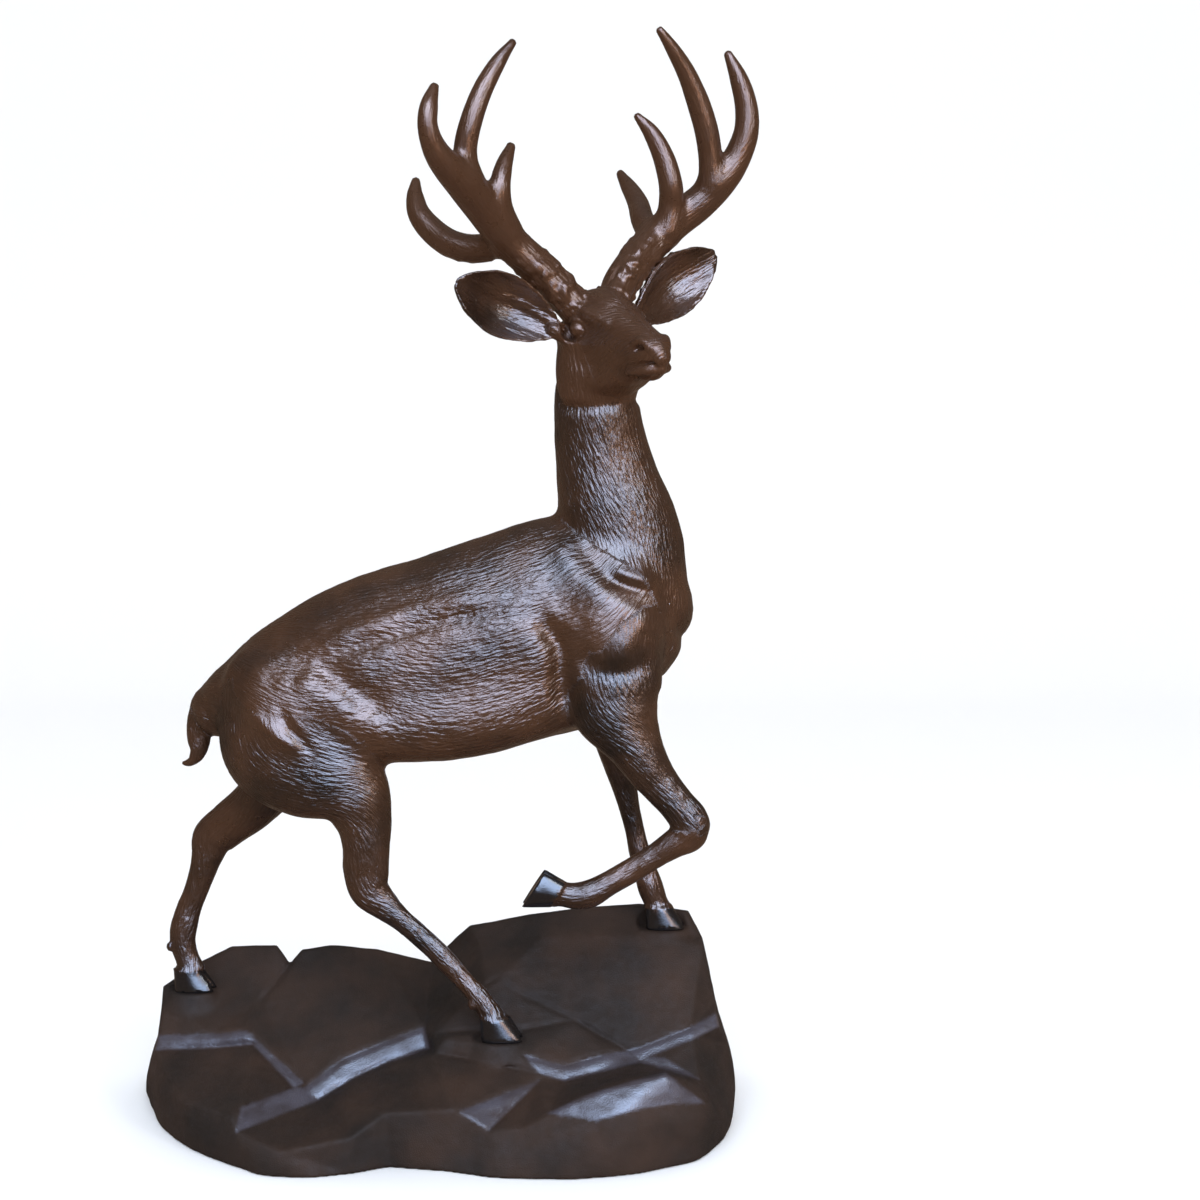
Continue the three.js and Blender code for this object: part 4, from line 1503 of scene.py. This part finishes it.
@dataclass
class Rock:
    """The boulder base: one casting with three level pads for the hooves.

    Attributes:
        voxel: Cell of the field in mm.
        faces: Number of triangles that the finished mesh may have.
        camera: The view in which the plain faces are laid out.
        window: The part of the picture that holds the rock: left, top, right, bottom.
        edge_size: Size in mm of one pixel of the picture at the rock.
        seat_radius: Radius of a hoof's level seat in mm.
        seat_depth: How far a seat reaches down, in mm.
        room_radius: Radius of the clear room round a hoof in mm.
        room_height: Height of that room in mm.
    """

    voxel: float
    faces: int
    camera: Sighting = Sighting()
    window: tuple[int, int, int, int] = (110, 880, 780, 1215)
    edge_size: float = 1.86
    seat_radius: float = 35.0
    seat_depth: float = 34.0
    room_radius: float = 39.0
    room_height: float = 60.0

    def cells(self) -> tuple[Array, Array]:
        """Lay out the grid.

        Returns:
            The centres of its cells in mm, and its lowest corner in cells.
        """
        low, high = (np.array(corner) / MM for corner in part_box("rock_base"))
        first = np.floor((low - 12) / self.voxel).astype(int)
        last = np.ceil((high + (12, 12, 30)) / self.voxel).astype(int)
        axes = [np.arange(a, b) * self.voxel for a, b in zip(first, last)]
        return np.stack(np.meshgrid(*axes, indexing="ij"), axis=-1).astype(np.float32), first

    def field(self, grid: Array) -> Array:
        """Stand the plain faces up, roughen them, cut the outline and level the pads.

        Formula: the larger of the distance in front of the faces and the distance
        outside the outline, plus noises, and 0 at the surface.

        Args:
            grid: Centres of the cells in mm.

        Returns:
            The distance in every cell, positive outside the rock.
        """
        u, v, along = self.camera.picture(grid)
        depth, edge = self.relief_map()
        column, row = self.window_place(u, v)
        front = sampled(depth, column, row) - along
        front = softened(front) + CRACK_DEPTH * sampled(self.crack_map(), column, row)
        whole = smooth_larger(front, sampled(edge, column, row) * self.edge_size, 7.0)
        slope = np.sqrt(sum(step ** 2 for step in np.gradient(whole, self.voxel)))
        whole /= np.clip(slope, 0.7, 6.0)
        whole += 1.7 * layered_noise(grid / 95.0, 3, 40)
        whole += 1.1 * np.abs(value_noise(grid / (26.0, 26.0, 16.0), 44))
        whole = smooth_larger(whole, self.outline(grid), 14.0)
        for leg in STANDING:
            whole = self.level_pad(whole, grid, leg)
        return np.maximum(whole, -grid[..., 2])

    def window_place(self, u: Array, v: Array) -> tuple[Array, Array]:
        """Turn picture places into cells of the window's maps, kept inside them."""
        left, top, right, bottom = self.window
        return np.clip(u - left, 0, right - left - 2), np.clip(v - top, 0, bottom - top - 2)

    def picture_window(self) -> tuple[Array, Array]:
        """Every whole pixel of the picture's window, across and down."""
        return np.meshgrid(np.arange(self.window[0], self.window[2], dtype=np.float32),
                           np.arange(self.window[1], self.window[3], dtype=np.float32), indexing="ij")

    def crack_map(self) -> Array:
        """How deep the cracks are, from 0 to 1, over the picture's window.

        Formula: exp(-(distance / width)^2) from the nearest crack, uneven along it.

        Returns:
            One share for each pixel of the window.
        """
        u, v = self.picture_window()
        away = np.minimum.reduce([away_from(names, u, v) for names in CRACKS])
        uneven = 0.75 + 0.5 * value_noise(np.stack([u, v], axis=-1) / 21.0, 74)
        return (np.exp(-(away / CRACK_WIDTH) ** 2) * uneven).astype(np.float32)

    def relief_map(self) -> tuple[Array, Array]:
        """Lay the rock's plain faces out in the picture.

        Formula: the folds are triangulated, and the inverse of the distance along the
        view runs linearly over each triangle, so that each one is a plane in space.

        Returns:
            The distance along the view, and the distance in pixels to the outline,
            positive outside it, both for a window of the picture.
        """
        names = list(SIGHTS)
        flat = [Vector(SIGHTS[name][:2]) for name in names]
        inverse = np.array([1.0 / self.camera.ray_depth(*SIGHTS[name]) for name in names])
        lines = [line.split() for line in (OUTER,) + FOLDS]
        edges = [(names.index(a), names.index(b)) for line in lines for a, b in zip(line, line[1:])]
        made, _, faces, source, _, _ = delaunay_2d_cdt(flat, edges, [], 0, 1e-4)
        u, v = self.picture_window()
        depth = np.full(u.shape, np.nan, dtype=np.float32)
        for face in faces:
            corners = np.array([made[k] for k in face])
            values = np.array([inverse[source[k][0]] for k in face])
            plane = np.linalg.solve(np.column_stack([corners, np.ones(3)]), values)
            inside = np.ones(u.shape, dtype=bool)
            for here, after in zip(corners, np.roll(corners, -1, axis=0)):
                inside &= (after[0] - here[0]) * (v - here[1]) - (after[1] - here[1]) * (u - here[0]) >= -0.5
            depth[inside] = 1.0 / (plane[0] * u + plane[1] * v + plane[2])[inside]
        self.fill_outside(depth)
        return depth, outside_by(OUTER, u, v)

    def fill_outside(self, depth: Array) -> None:
        """Carry known distances on to the window's empty cells, one cell further each round.

        Args:
            depth: The distances by column and row, with no number where none is known.
        """
        for _ in range(max(depth.shape)):
            if not np.isnan(depth).any():
                break
            for axis, step in ((0, 1), (0, -1), (1, 1), (1, -1)):
                shifted = np.roll(depth, step, axis)
                take = np.isnan(depth) & ~np.isnan(shifted)
                depth[take] = shifted[take]

    def outline(self, grid: Array) -> Array:
        """Upright wall through the footprint, leaning in a little above a low swell.

        Formula: the rounded largest distance outside any of the footprint's sides.

        Args:
            grid: Centres of the cells in mm.

        Returns:
            The distance outside the wall in every cell.
        """
        corners = np.asarray(FOOTPRINT, float)
        value = np.full(grid.shape[:-1], -1e3, dtype=np.float32)
        draw_in = 0.17 * np.maximum(grid[..., 2] - 85.0, 0.0) + 0.1 * np.maximum(60.0 - grid[..., 2], 0.0)
        for here, after in zip(corners, np.roll(corners, -1, axis=0)):
            edge = unit(after - here)
            out = np.array([edge[1], -edge[0]])
            distance = (grid[..., :2] - here) @ out.astype(np.float32)
            value = smooth_larger(value, distance + draw_in, 26.0)
        return value + 3.0 * layered_noise(grid / 80.0, 2, 60)

    def level_pad(self, whole: Array, grid: Array, leg: StandingLeg) -> Array:
        """Raise a level seat under one hoof and clear the room above it.

        Args:
            whole: The rock's field so far.
            grid: Centres of the cells in mm.
            leg: The leg that stands there.

        Returns:
            The field with the seat.
        """
        away = np.hypot((grid[..., 0] - leg.hoof[0] + 6.0) * 0.8, (grid[..., 1] - leg.hoof[1]) * 1.15)
        rise = grid[..., 2] - leg.pad
        seat = smooth_larger(rise, away - self.seat_radius + 0.4 * rise, 5.0)
        seat = np.maximum(seat, -rise - self.seat_depth)
        whole = smooth_smaller(whole, seat, 10.0)
        room = np.maximum(-rise, away - self.room_radius - 0.25 * rise)
        return np.where(rise < self.room_height, np.maximum(whole, -room), whole)

    def build(self) -> Piece:
        """Turn the field into the rock's mesh.

        Returns:
            The finished mesh object.
        """
        grid, first = self.cells()
        skin = Clay.of_values(self.field(grid), first, self.voxel, 12.0).surface()
        LOG.info("rock skin has %d points", len(skin.points))
        piece = to_object("rock_cast", skin)
        thin_mesh(piece, np.full(len(skin.points), 0.5), self.faces)
        self.store_ledge_sheen(piece)
        return piece

    def store_ledge_sheen(self, piece: Piece) -> None:
        """Mark the narrow ledges that get a gloss and a painted pale bluish reflection of the sky.

        Args:
            piece: The rock's finished mesh object.
        """
        points = mesh_points(piece.data) / MM
        u, v, along = self.camera.picture(points)
        depth, _ = self.relief_map()
        column, row = self.window_place(u, v)
        # Only faces toward the camera get the painted reflection.
        in_front = np.abs(sampled(depth, column, row) - along) < 30.0
        value = np.zeros(len(points))
        for names in SHEEN_LEDGES:
            value = np.maximum(value, np.clip(0.5 - outside_by(names, u, v) / 3.0, 0.0, 1.0))
        # The painted reflection is made uneven in strength.
        patchy = 0.8 + 0.45 * layered_noise(points / (34.0, 34.0, 12.0), 3, 70)
        store_value(piece.data, "polish_and_painted_sheen", np.clip(value * in_front * patchy, 0.0, 1.0))
        store_value(piece.data, "warmth", np.zeros(len(points)))


# Meshes


def to_object(name: str, skin: Skin) -> Piece:
    """Put a skin given in mm into a new object in metres.

    Args:
        name: The object's name.
        skin: The closed skin.

    Returns:
        The object, linked to the scene.
    """
    mesh = bpy.data.meshes.new(name)
    mesh.vertices.add(len(skin.points))
    mesh.vertices.foreach_set("co", (skin.points * MM).astype(np.float32).ravel())
    sizes = np.concatenate([np.full(len(skin.quads), 4), np.full(len(skin.triangles), 3)])
    corners = np.concatenate([skin.quads.ravel(), skin.triangles.ravel()])
    starts = np.concatenate([[0], np.cumsum(sizes)[:-1]])
    mesh.loops.add(len(corners))
    mesh.loops.foreach_set("vertex_index", corners.astype(np.int32))
    mesh.polygons.add(len(sizes))
    mesh.polygons.foreach_set("loop_start", starts.astype(np.int32))
    mesh.update(calc_edges=True)
    mesh.validate()
    mesh.polygons.foreach_set("use_smooth", np.ones(len(sizes), dtype=bool))
    piece = bpy.data.objects.new(name, mesh)
    bpy.context.scene.collection.objects.link(piece)
    return piece


def mesh_points(mesh: bpy.types.Mesh) -> Array:
    """Read a mesh's points.

    Args:
        mesh: The mesh.

    Returns:
        One row of x, y and z for each point, in metres.
    """
    flat = np.empty(3 * len(mesh.vertices), dtype=np.float32)
    mesh.vertices.foreach_get("co", flat)
    return flat.reshape(-1, 3).astype(float)


def store_value(mesh: bpy.types.Mesh, name: str, values: Array) -> None:
    """Store one number a point under a name that a material can read."""
    mesh.attributes.new(name, "FLOAT", "POINT").data.foreach_set("value", values.astype(np.float32))


def thin_mesh(piece: Piece, keep: Array, faces: int) -> None:
    """Thin a mesh to a number of triangles, least where the keep weight is high.

    Args:
        piece: The mesh object.
        keep: How strongly each point resists thinning, from 0 to 1.
        faces: Number of triangles that may be left.
    """
    mesh = piece.data
    triangles = len(mesh.loops) - 2 * len(mesh.polygons)
    if triangles > faces:
        group = piece.vertex_groups.new(name="keep")
        for level in np.unique(keep):
            group.add(np.flatnonzero(keep == level).tolist(), float(1.0 - level), "REPLACE")
        modifier = piece.modifiers.new("thin", "DECIMATE")
        modifier.ratio = faces / triangles
        modifier.vertex_group = "keep"
        modifier.vertex_group_factor = 1.0
        bake_modifiers(piece)
        piece.vertex_groups.clear()
    smooth = np.ones(len(piece.data.polygons), dtype=bool)
    piece.data.polygons.foreach_set("use_smooth", smooth)
    LOG.info("%s has %d faces", piece.name, len(piece.data.polygons))


def bake_modifiers(piece: Piece) -> None:
    """Make the modifiers' result the piece's own mesh.

    Args:
        piece: The mesh object.
    """
    graph = bpy.context.evaluated_depsgraph_get()
    finished = bpy.data.meshes.new_from_object(piece.evaluated_get(graph), depsgraph=graph)
    piece.modifiers.clear()
    old = piece.data
    piece.data = finished
    bpy.data.meshes.remove(old)


# Finishes

# Noises of the finish: cells a metre (cells a metre of the flow map for the strokes), layers
CLOUDS = (7.0, 4.0)
SPECKS = (60.0, 3.0)
CASTING_GRAIN = (420.0, 3.0)
STROKES = (46.0, 2.0)

# Roughness of the wax, and the warmth from which it is thinned to the share given
WAX_ROUGHNESS = 0.15
THIN_WAX_WARMTH = 0.3
THIN_WAX_SHARE = 0.3


def mix_colours(tree: Tree, factor: Socket,
                first: tuple[float, ...] | Socket,
                second: tuple[float, ...] | Socket) -> Socket:
    """Mix two colours, each one fixed or linked.

    Args:
        tree: The node tree.
        factor: Share of the second colour.
        first: First colour.
        second: Second colour.

    Returns:
        The mixed colour.
    """
    mix = tree.nodes.new("ShaderNodeMix")
    mix.data_type = "RGBA"
    colours = [socket for socket in mix.inputs if socket.type == "RGBA"]
    for socket, value in zip(colours, (first, second)):
        if isinstance(value, tuple):
            socket.default_value = (*value, 1.0)
        else:
            tree.links.new(value, socket)
    tree.links.new(factor, mix.inputs[0])
    return next(socket for socket in mix.outputs if socket.type == "RGBA")


def mix_values(tree: Tree, factor: Socket,
               first: float | Socket, second: float) -> Socket:
    """Mix two numbers, of which the first is fixed or linked.

    Args:
        tree: The node tree.
        factor: Share of the second number.
        first: First number.
        second: Second number.

    Returns:
        The mixed number.
    """
    node = tree.nodes.new("ShaderNodeMapRange")
    if isinstance(first, float):
        node.inputs["To Min"].default_value = first
    else:
        tree.links.new(first, node.inputs["To Min"])
    node.inputs["To Max"].default_value = second
    tree.links.new(factor, node.inputs["Value"])
    return node.outputs["Result"]


@dataclass(frozen=True)
class Bronze:
    """Dark brown patina over bronze, waxed to a half gloss.

    Attributes:
        name: The material's name.
        deep: Colour of the darkest patina.
        warm: Colour where the patina is thin and reddish.
        metallic: Share of metal in the shading.
        rough: Lowest and highest roughness.
        coat: Strength of the wax.
        hair: Depth of the chased strokes in the bump, in metres.
        grain: Depth of the fine casting grain, in metres.
        polish_and_painted_sheen: Colour where the piece is worn smooth: the hooves' own darker colour on the
            stag, and a pale bluish painted reflection of the sky on the rock's ledges.
        gloss: Roughness where it is worn smooth.
        sheen: Strength of the mirror light under the wax.
    """

    name: str
    deep: tuple[float, float, float]
    warm: tuple[float, float, float]
    metallic: float
    rough: tuple[float, float]
    coat: float
    hair: float
    grain: float
    polish_and_painted_sheen: tuple[float, float, float]
    gloss: float
    sheen: float

    def material(self) -> bpy.types.Material:
        """Build the node tree.

        Returns:
            The material.
        """
        material = bpy.data.materials.new(self.name)
        material.use_nodes = True
        tree = material.node_tree
        tree.nodes.clear()
        out = tree.nodes.new("ShaderNodeOutputMaterial")
        shader = tree.nodes.new("ShaderNodeBsdfPrincipled")
        tree.links.new(shader.outputs["BSDF"], out.inputs["Surface"])
        shader.inputs["Metallic"].default_value = self.metallic
        shader.inputs["Coat Roughness"].default_value = WAX_ROUGHNESS
        shader.inputs["Specular IOR Level"].default_value = self.sheen
        # Mask of the hooves' own darker colour and of the rock's ledges, whose paler bluish colour is a
        # painted reflection of the sky.
        polish_and_sheen_mask = tree.nodes.new("ShaderNodeAttribute")
        polish_and_sheen_mask.attribute_name = "polish_and_painted_sheen"
        polish_and_sheen_mask = polish_and_sheen_mask.outputs["Fac"]
        warmth = tree.nodes.new("ShaderNodeAttribute")
        warmth.attribute_name = "warmth"
        where = tree.nodes.new("ShaderNodeTexCoord").outputs["Object"]
        cloud = self.noise(tree, where, *CLOUDS)
        speck = self.noise(tree, where, *SPECKS)
        tint = tree.nodes.new("ShaderNodeMath")
        tree.links.new(cloud, tint.inputs[0])
        tree.links.new(warmth.outputs["Fac"], tint.inputs[1])
        colour = self.mixed(tree, tint.outputs["Value"], self.deep, self.warm)
        # Paints a pale bluish reflection of the sky into the colour of the rock's ledges, and gives the
        # hooves their own darker colour.
        colour = mix_colours(tree, polish_and_sheen_mask, colour, self.polish_and_painted_sheen)
        tree.links.new(colour, shader.inputs["Base Color"])
        dull = self.ranged(tree, speck, *self.rough)
        tree.links.new(mix_values(tree, polish_and_sheen_mask, dull, self.gloss), shader.inputs["Roughness"])
        wax = tree.nodes.new("ShaderNodeMapRange")
        wax.inputs["From Max"].default_value = THIN_WAX_WARMTH
        wax.inputs["To Min"].default_value = self.coat
        wax.inputs["To Max"].default_value = THIN_WAX_SHARE * self.coat
        tree.links.new(warmth.outputs["Fac"], wax.inputs["Value"])
        tree.links.new(mix_values(tree, polish_and_sheen_mask, wax.outputs["Result"], 1.0), shader.inputs["Coat Weight"])
        bump = self.bumped(tree, self.noise(tree, where, *CASTING_GRAIN), self.grain, None)
        if self.hair > 0:
            bump = self.hair_bump(tree, bump)
        tree.links.new(bump, shader.inputs["Normal"])
        tree.links.new(bump, shader.inputs["Coat Normal"])
        return material

    def noise(self, tree: Tree, where: Socket, scale: float,
              detail: float) -> Socket:
        """Make noise of a scale in cells a metre.

        Args:
            tree: The node tree.
            where: The places that it reads.
            scale: Cells a metre.
            detail: Number of finer layers.

        Returns:
            A value from 0 to 1.
        """
        node = tree.nodes.new("ShaderNodeTexNoise")
        node.inputs["Scale"].default_value = scale
        node.inputs["Detail"].default_value = detail
        tree.links.new(where, node.inputs["Vector"])
        return node.outputs["Fac"]

    def ranged(self, tree: Tree, value: Socket, low: float,
               high: float) -> Socket:
        """Stretch the middle of a noise over a range.

        Args:
            tree: The node tree.
            value: The noise.
            low: Result where the noise is low.
            high: Result where it is high.

        Returns:
            The stretched value.
        """
        node = tree.nodes.new("ShaderNodeMapRange")
        node.inputs["From Min"].default_value = 0.3
        node.inputs["From Max"].default_value = 0.7
        node.inputs["To Min"].default_value = low
        node.inputs["To Max"].default_value = high
        tree.links.new(value, node.inputs["Value"])
        return node.outputs["Result"]

    def mixed(self, tree: Tree, factor: Socket,
              first: tuple[float, ...], second: tuple[float, ...]) -> Socket:
        """Mix two colours by a noise.

        Args:
            tree: The node tree.
            factor: The noise.
            first: Colour where it is low.
            second: Colour where it is high.

        Returns:
            The mixed colour.
        """
        ramp = tree.nodes.new("ShaderNodeValToRGB")
        ramp.color_ramp.elements[0].position = 0.35
        ramp.color_ramp.elements[0].color = (*first, 1.0)
        ramp.color_ramp.elements[1].position = 0.68
        ramp.color_ramp.elements[1].color = (*second, 1.0)
        tree.links.new(factor, ramp.inputs["Fac"])
        return ramp.outputs["Color"]

    def bumped(self, tree: Tree, height: Socket, depth: float,
               under: Socket | None) -> Socket:
        """Bump a height over another bump.

        Args:
            tree: The node tree.
            height: The height, from 0 to 1.
            depth: The height's size in metres.
            under: The bump below it, if there is one.

        Returns:
            The bumped normal.
        """
        node = tree.nodes.new("ShaderNodeBump")
        node.inputs["Distance"].default_value = depth
        tree.links.new(height, node.inputs["Height"])
        if under is not None:
            tree.links.new(under, node.inputs["Normal"])
        return node.outputs["Normal"]

    def hair_bump(self, tree: Tree, under: Socket) -> Socket:
        """Chased strokes: noise stretched along the flow map, weighted by the hair mask.

        Args:
            tree: The node tree.
            under: The bump below the strokes.

        Returns:
            The bumped normal.
        """
        flow = tree.nodes.new("ShaderNodeUVMap")
        flow.uv_map = "flow"
        mask = tree.nodes.new("ShaderNodeAttribute")
        mask.attribute_name = "hair"
        stretch = tree.nodes.new("ShaderNodeMapping")
        stretch.inputs["Scale"].default_value = (1.0, 4.6, 1.0)
        tree.links.new(flow.outputs["UV"], stretch.inputs["Vector"])
        strokes = self.noise(tree, stretch.outputs["Vector"], *STROKES)
        node = tree.nodes.new("ShaderNodeBump")
        node.inputs["Distance"].default_value = self.hair
        tree.links.new(mask.outputs["Fac"], node.inputs["Strength"])
        tree.links.new(strokes, node.inputs["Height"])
        tree.links.new(under, node.inputs["Normal"])
        return node.outputs["Normal"]


STAG_BRONZE = Bronze("stag_bronze", (0.018, 0.0098, 0.0062), (0.080, 0.036, 0.018), 0.45, (0.25, 0.38),
                     0.85, 0.0032, 0.0003, (0.012, 0.011, 0.012), 0.16, 0.35)
# The rock's ledge colour, pale and bluish, is a painted reflection of the sky.
ROCK_BRONZE = Bronze("rock_bronze", (0.016, 0.0105, 0.0075), (0.036, 0.0195, 0.0125), 0.0, (0.60, 0.74),
                     0.0, 0.0, 0.0009, (0.060, 0.056, 0.072), 0.26, 0.18)


# Studio


@dataclass(frozen=True)
class Camera:
    """The picture's view, for a square picture of 1200 pixels."""

    place: tuple[float, float, float] = (0.326, -3.1, 1.3)
    pitch: float = math.radians(84.5)
    lens: float = 50.0
    film: float = 36.0

    def build(self) -> None:
        """Create the camera and make it the scene's."""
        data = bpy.data.cameras.new("photo_view")
        data.lens = self.lens
        data.sensor_width = self.film
        camera = bpy.data.objects.new("photo_view", data)
        camera.location = self.place
        camera.rotation_euler = (self.pitch, 0.0, 0.0)
        bpy.context.scene.collection.objects.link(camera)
        bpy.context.scene.camera = camera


@dataclass(frozen=True)
class SoftLight:
    """A rectangular lamp aimed at the statue."""

    name: str
    place: tuple[float, float, float]
    target: tuple[float, float, float]
    size: tuple[float, float]
    watts: float
    colour: tuple[float, float, float]

    def build(self) -> None:
        """Create the lamp."""
        data = bpy.data.lights.new(self.name, "AREA")
        data.shape = "RECTANGLE"
        data.size, data.size_y = self.size
        data.energy = self.watts
        data.color = self.colour
        lamp = bpy.data.objects.new(self.name, data)
        lamp.location = self.place
        aim = np.asarray(self.target) - np.asarray(self.place)
        yaw = math.atan2(aim[1], aim[0])
        lamp.rotation_euler = (math.acos(-aim[2] / np.linalg.norm(aim)), 0.0, yaw - math.pi / 2)
        bpy.context.scene.collection.objects.link(lamp)


LIGHTS = (
    SoftLight("sky_panel", (-0.1, -2.75, 3.7), (0.0, 0.0, 0.75), (3.6, 1.35), 90.0, (0.60, 0.76, 1.0)),
    SoftLight("window", (2.7, -2.6, 2.4), (0.33, -0.05, 1.25), (0.6, 1.5), 40.0, (0.86, 0.93, 1.0)),
    SoftLight("warm_fill", (2.6, -3.2, 0.9), (0.33, -0.05, 1.0), (0.9, 0.6), 18.0, (1.0, 0.62, 0.40)),
)


@dataclass(frozen=True)
class Room:
    """What surrounds the statue: even white light, and dark walls seen in the bronze.

    Attributes:
        white: Light that falls from all sides.
        ground: Colour mirrored from below.
        wall: Colour mirrored from the level of the eye.
        roof: Colour mirrored from above.
        opening: Colour of the wide bright opening in front, mirrored by the flank.
        toward: Direction of the opening's middle.
        reach: Cosines of the angle from it at which the opening starts and is full.
    """

    white: tuple[float, float, float] = (1.12, 1.12, 1.12)
    ground: tuple[float, float, float] = (0.20, 0.14, 0.10)
    wall: tuple[float, float, float] = (0.14, 0.10, 0.075)
    roof: tuple[float, float, float] = (0.22, 0.22, 0.23)
    opening: tuple[float, float, float] = (7.0, 9.2, 13.5)
    toward: tuple[float, float, float] = (0.14, -0.90, 0.41)
    reach: tuple[float, float] = (0.81, 0.97)

    def build(self) -> None:
        """Make the world: the ray's own direction picks ground, wall or roof."""
        world = bpy.data.worlds.new("studio")
        world.use_nodes = True
        tree = world.node_tree
        back = tree.nodes["Background"]
        direction = tree.nodes.new("ShaderNodeTexCoord")
        split = tree.nodes.new("ShaderNodeSeparateXYZ")
        tree.links.new(direction.outputs["Generated"], split.inputs["Vector"])
        place = tree.nodes.new("ShaderNodeMapRange")
        place.inputs["From Min"].default_value = -1.0
        place.inputs["From Max"].default_value = 1.0
        tree.links.new(split.outputs["Z"], place.inputs["Value"])
        ramp = tree.nodes.new("ShaderNodeValToRGB")
        stops = ((0.0, self.ground), (0.42, self.ground), (0.52, self.wall), (0.78, self.wall),
                 (1.0, self.roof))
        for position, _ in stops[1:-1]:
            ramp.color_ramp.elements.new(position)
        for element, (position, colour) in zip(ramp.color_ramp.elements, stops):
            element.position = position
            element.color = (*colour, 1.0)
        tree.links.new(place.outputs["Result"], ramp.inputs["Fac"])
        toward = tree.nodes.new("ShaderNodeVectorMath")
        toward.operation = "DOT_PRODUCT"
        toward.inputs[1].default_value = self.toward
        tree.links.new(direction.outputs["Generated"], toward.inputs[0])
        glow = tree.nodes.new("ShaderNodeMapRange")
        glow.interpolation_type = "SMOOTHSTEP"
        glow.inputs["From Min"].default_value = self.reach[0]
        glow.inputs["From Max"].default_value = self.reach[1]
        tree.links.new(toward.outputs["Value"], glow.inputs["Value"])
        seen = mix_colours(tree, glow.outputs["Result"], ramp.outputs["Color"], self.opening)
        path = tree.nodes.new("ShaderNodeLightPath")
        result = mix_colours(tree, path.outputs["Is Glossy Ray"], self.white, seen)
        tree.links.new(result, back.inputs["Color"])
        bpy.context.scene.world = world
        bpy.context.scene.view_settings.view_transform = "Standard"


def build_stage() -> None:
    """Make the pale floor that curves up into a pale backdrop.

    Formula: a level run, a quarter circle and an upright run, carried from side to side.
    """
    bend, bend_radius, extent = 5.0, 3.0, 14.0
    turn = np.linspace(0.0, 1.0, 40) * math.pi / 2
    level = np.concatenate([[-extent], np.linspace(-6.0, bend, 20)])
    run = np.concatenate([level, bend + bend_radius * np.sin(turn), [bend + bend_radius]])
    rise = np.concatenate([np.zeros(len(level)), bend_radius * (1.0 - np.cos(turn)), [extent]])
    points = np.concatenate([np.column_stack([np.full(len(run), x), run, rise]) for x in (-extent, extent)])
    count = len(run)
    row = np.arange(count - 1)
    faces = np.stack([row, row + count, row + count + 1, row + 1], axis=-1)
    mesh = bpy.data.meshes.new("sweep")
    mesh.from_pydata(points.tolist(), [], faces.tolist())
    mesh.polygons.foreach_set("use_smooth", np.ones(len(faces), dtype=bool))
    floor = bpy.data.objects.new("sweep", mesh)
    bpy.context.scene.collection.objects.link(floor)
    material = bpy.data.materials.new("pale_floor")
    material.use_nodes = True
    shader = material.node_tree.nodes["Principled BSDF"]
    shader.inputs["Base Color"].default_value = (0.88, 0.88, 0.88, 1.0)
    shader.inputs["Roughness"].default_value = 0.9
    mesh.materials.append(material)
    floor.visible_glossy = False


def dress(piece: Piece, finish: Bronze, node: str) -> None:
    """Give a piece its finish and its body, and hide the imported part of the node that it stands for.

    Args:
        piece: The finished mesh object.
        finish: The bronze that covers it.
        node: The node that it stands for.
    """
    piece.data.materials.clear()
    piece.data.materials.append(finish.material())
    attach(piece, "root")
    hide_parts(node)
    LOG.info("%s stands for %s", piece.name, node)


ROCK_CELLS = (4.0, 6.0)
STAG_CELLS = (2.5, 4.5)
ROCK_FACES = 150000
STAG_FACES = 196000


def main() -> None:
    """Build the camera, the studio, the rock and the stag in order."""
    logging.basicConfig(level=logging.INFO, format="%(name)s: %(message)s")
    Camera().build()
    build_stage()
    Room().build()
    for light in LIGHTS:
        light.build()
    choice = 0
    rock = Rock(ROCK_CELLS[choice], ROCK_FACES).build()
    dress(rock, ROCK_BRONZE, "rock_base")
    stag = Stag(STAG_CELLS[choice], STAG_FACES).build()
    dress(stag, STAG_BRONZE, "stag")


if __name__ == "__main__":
    main()
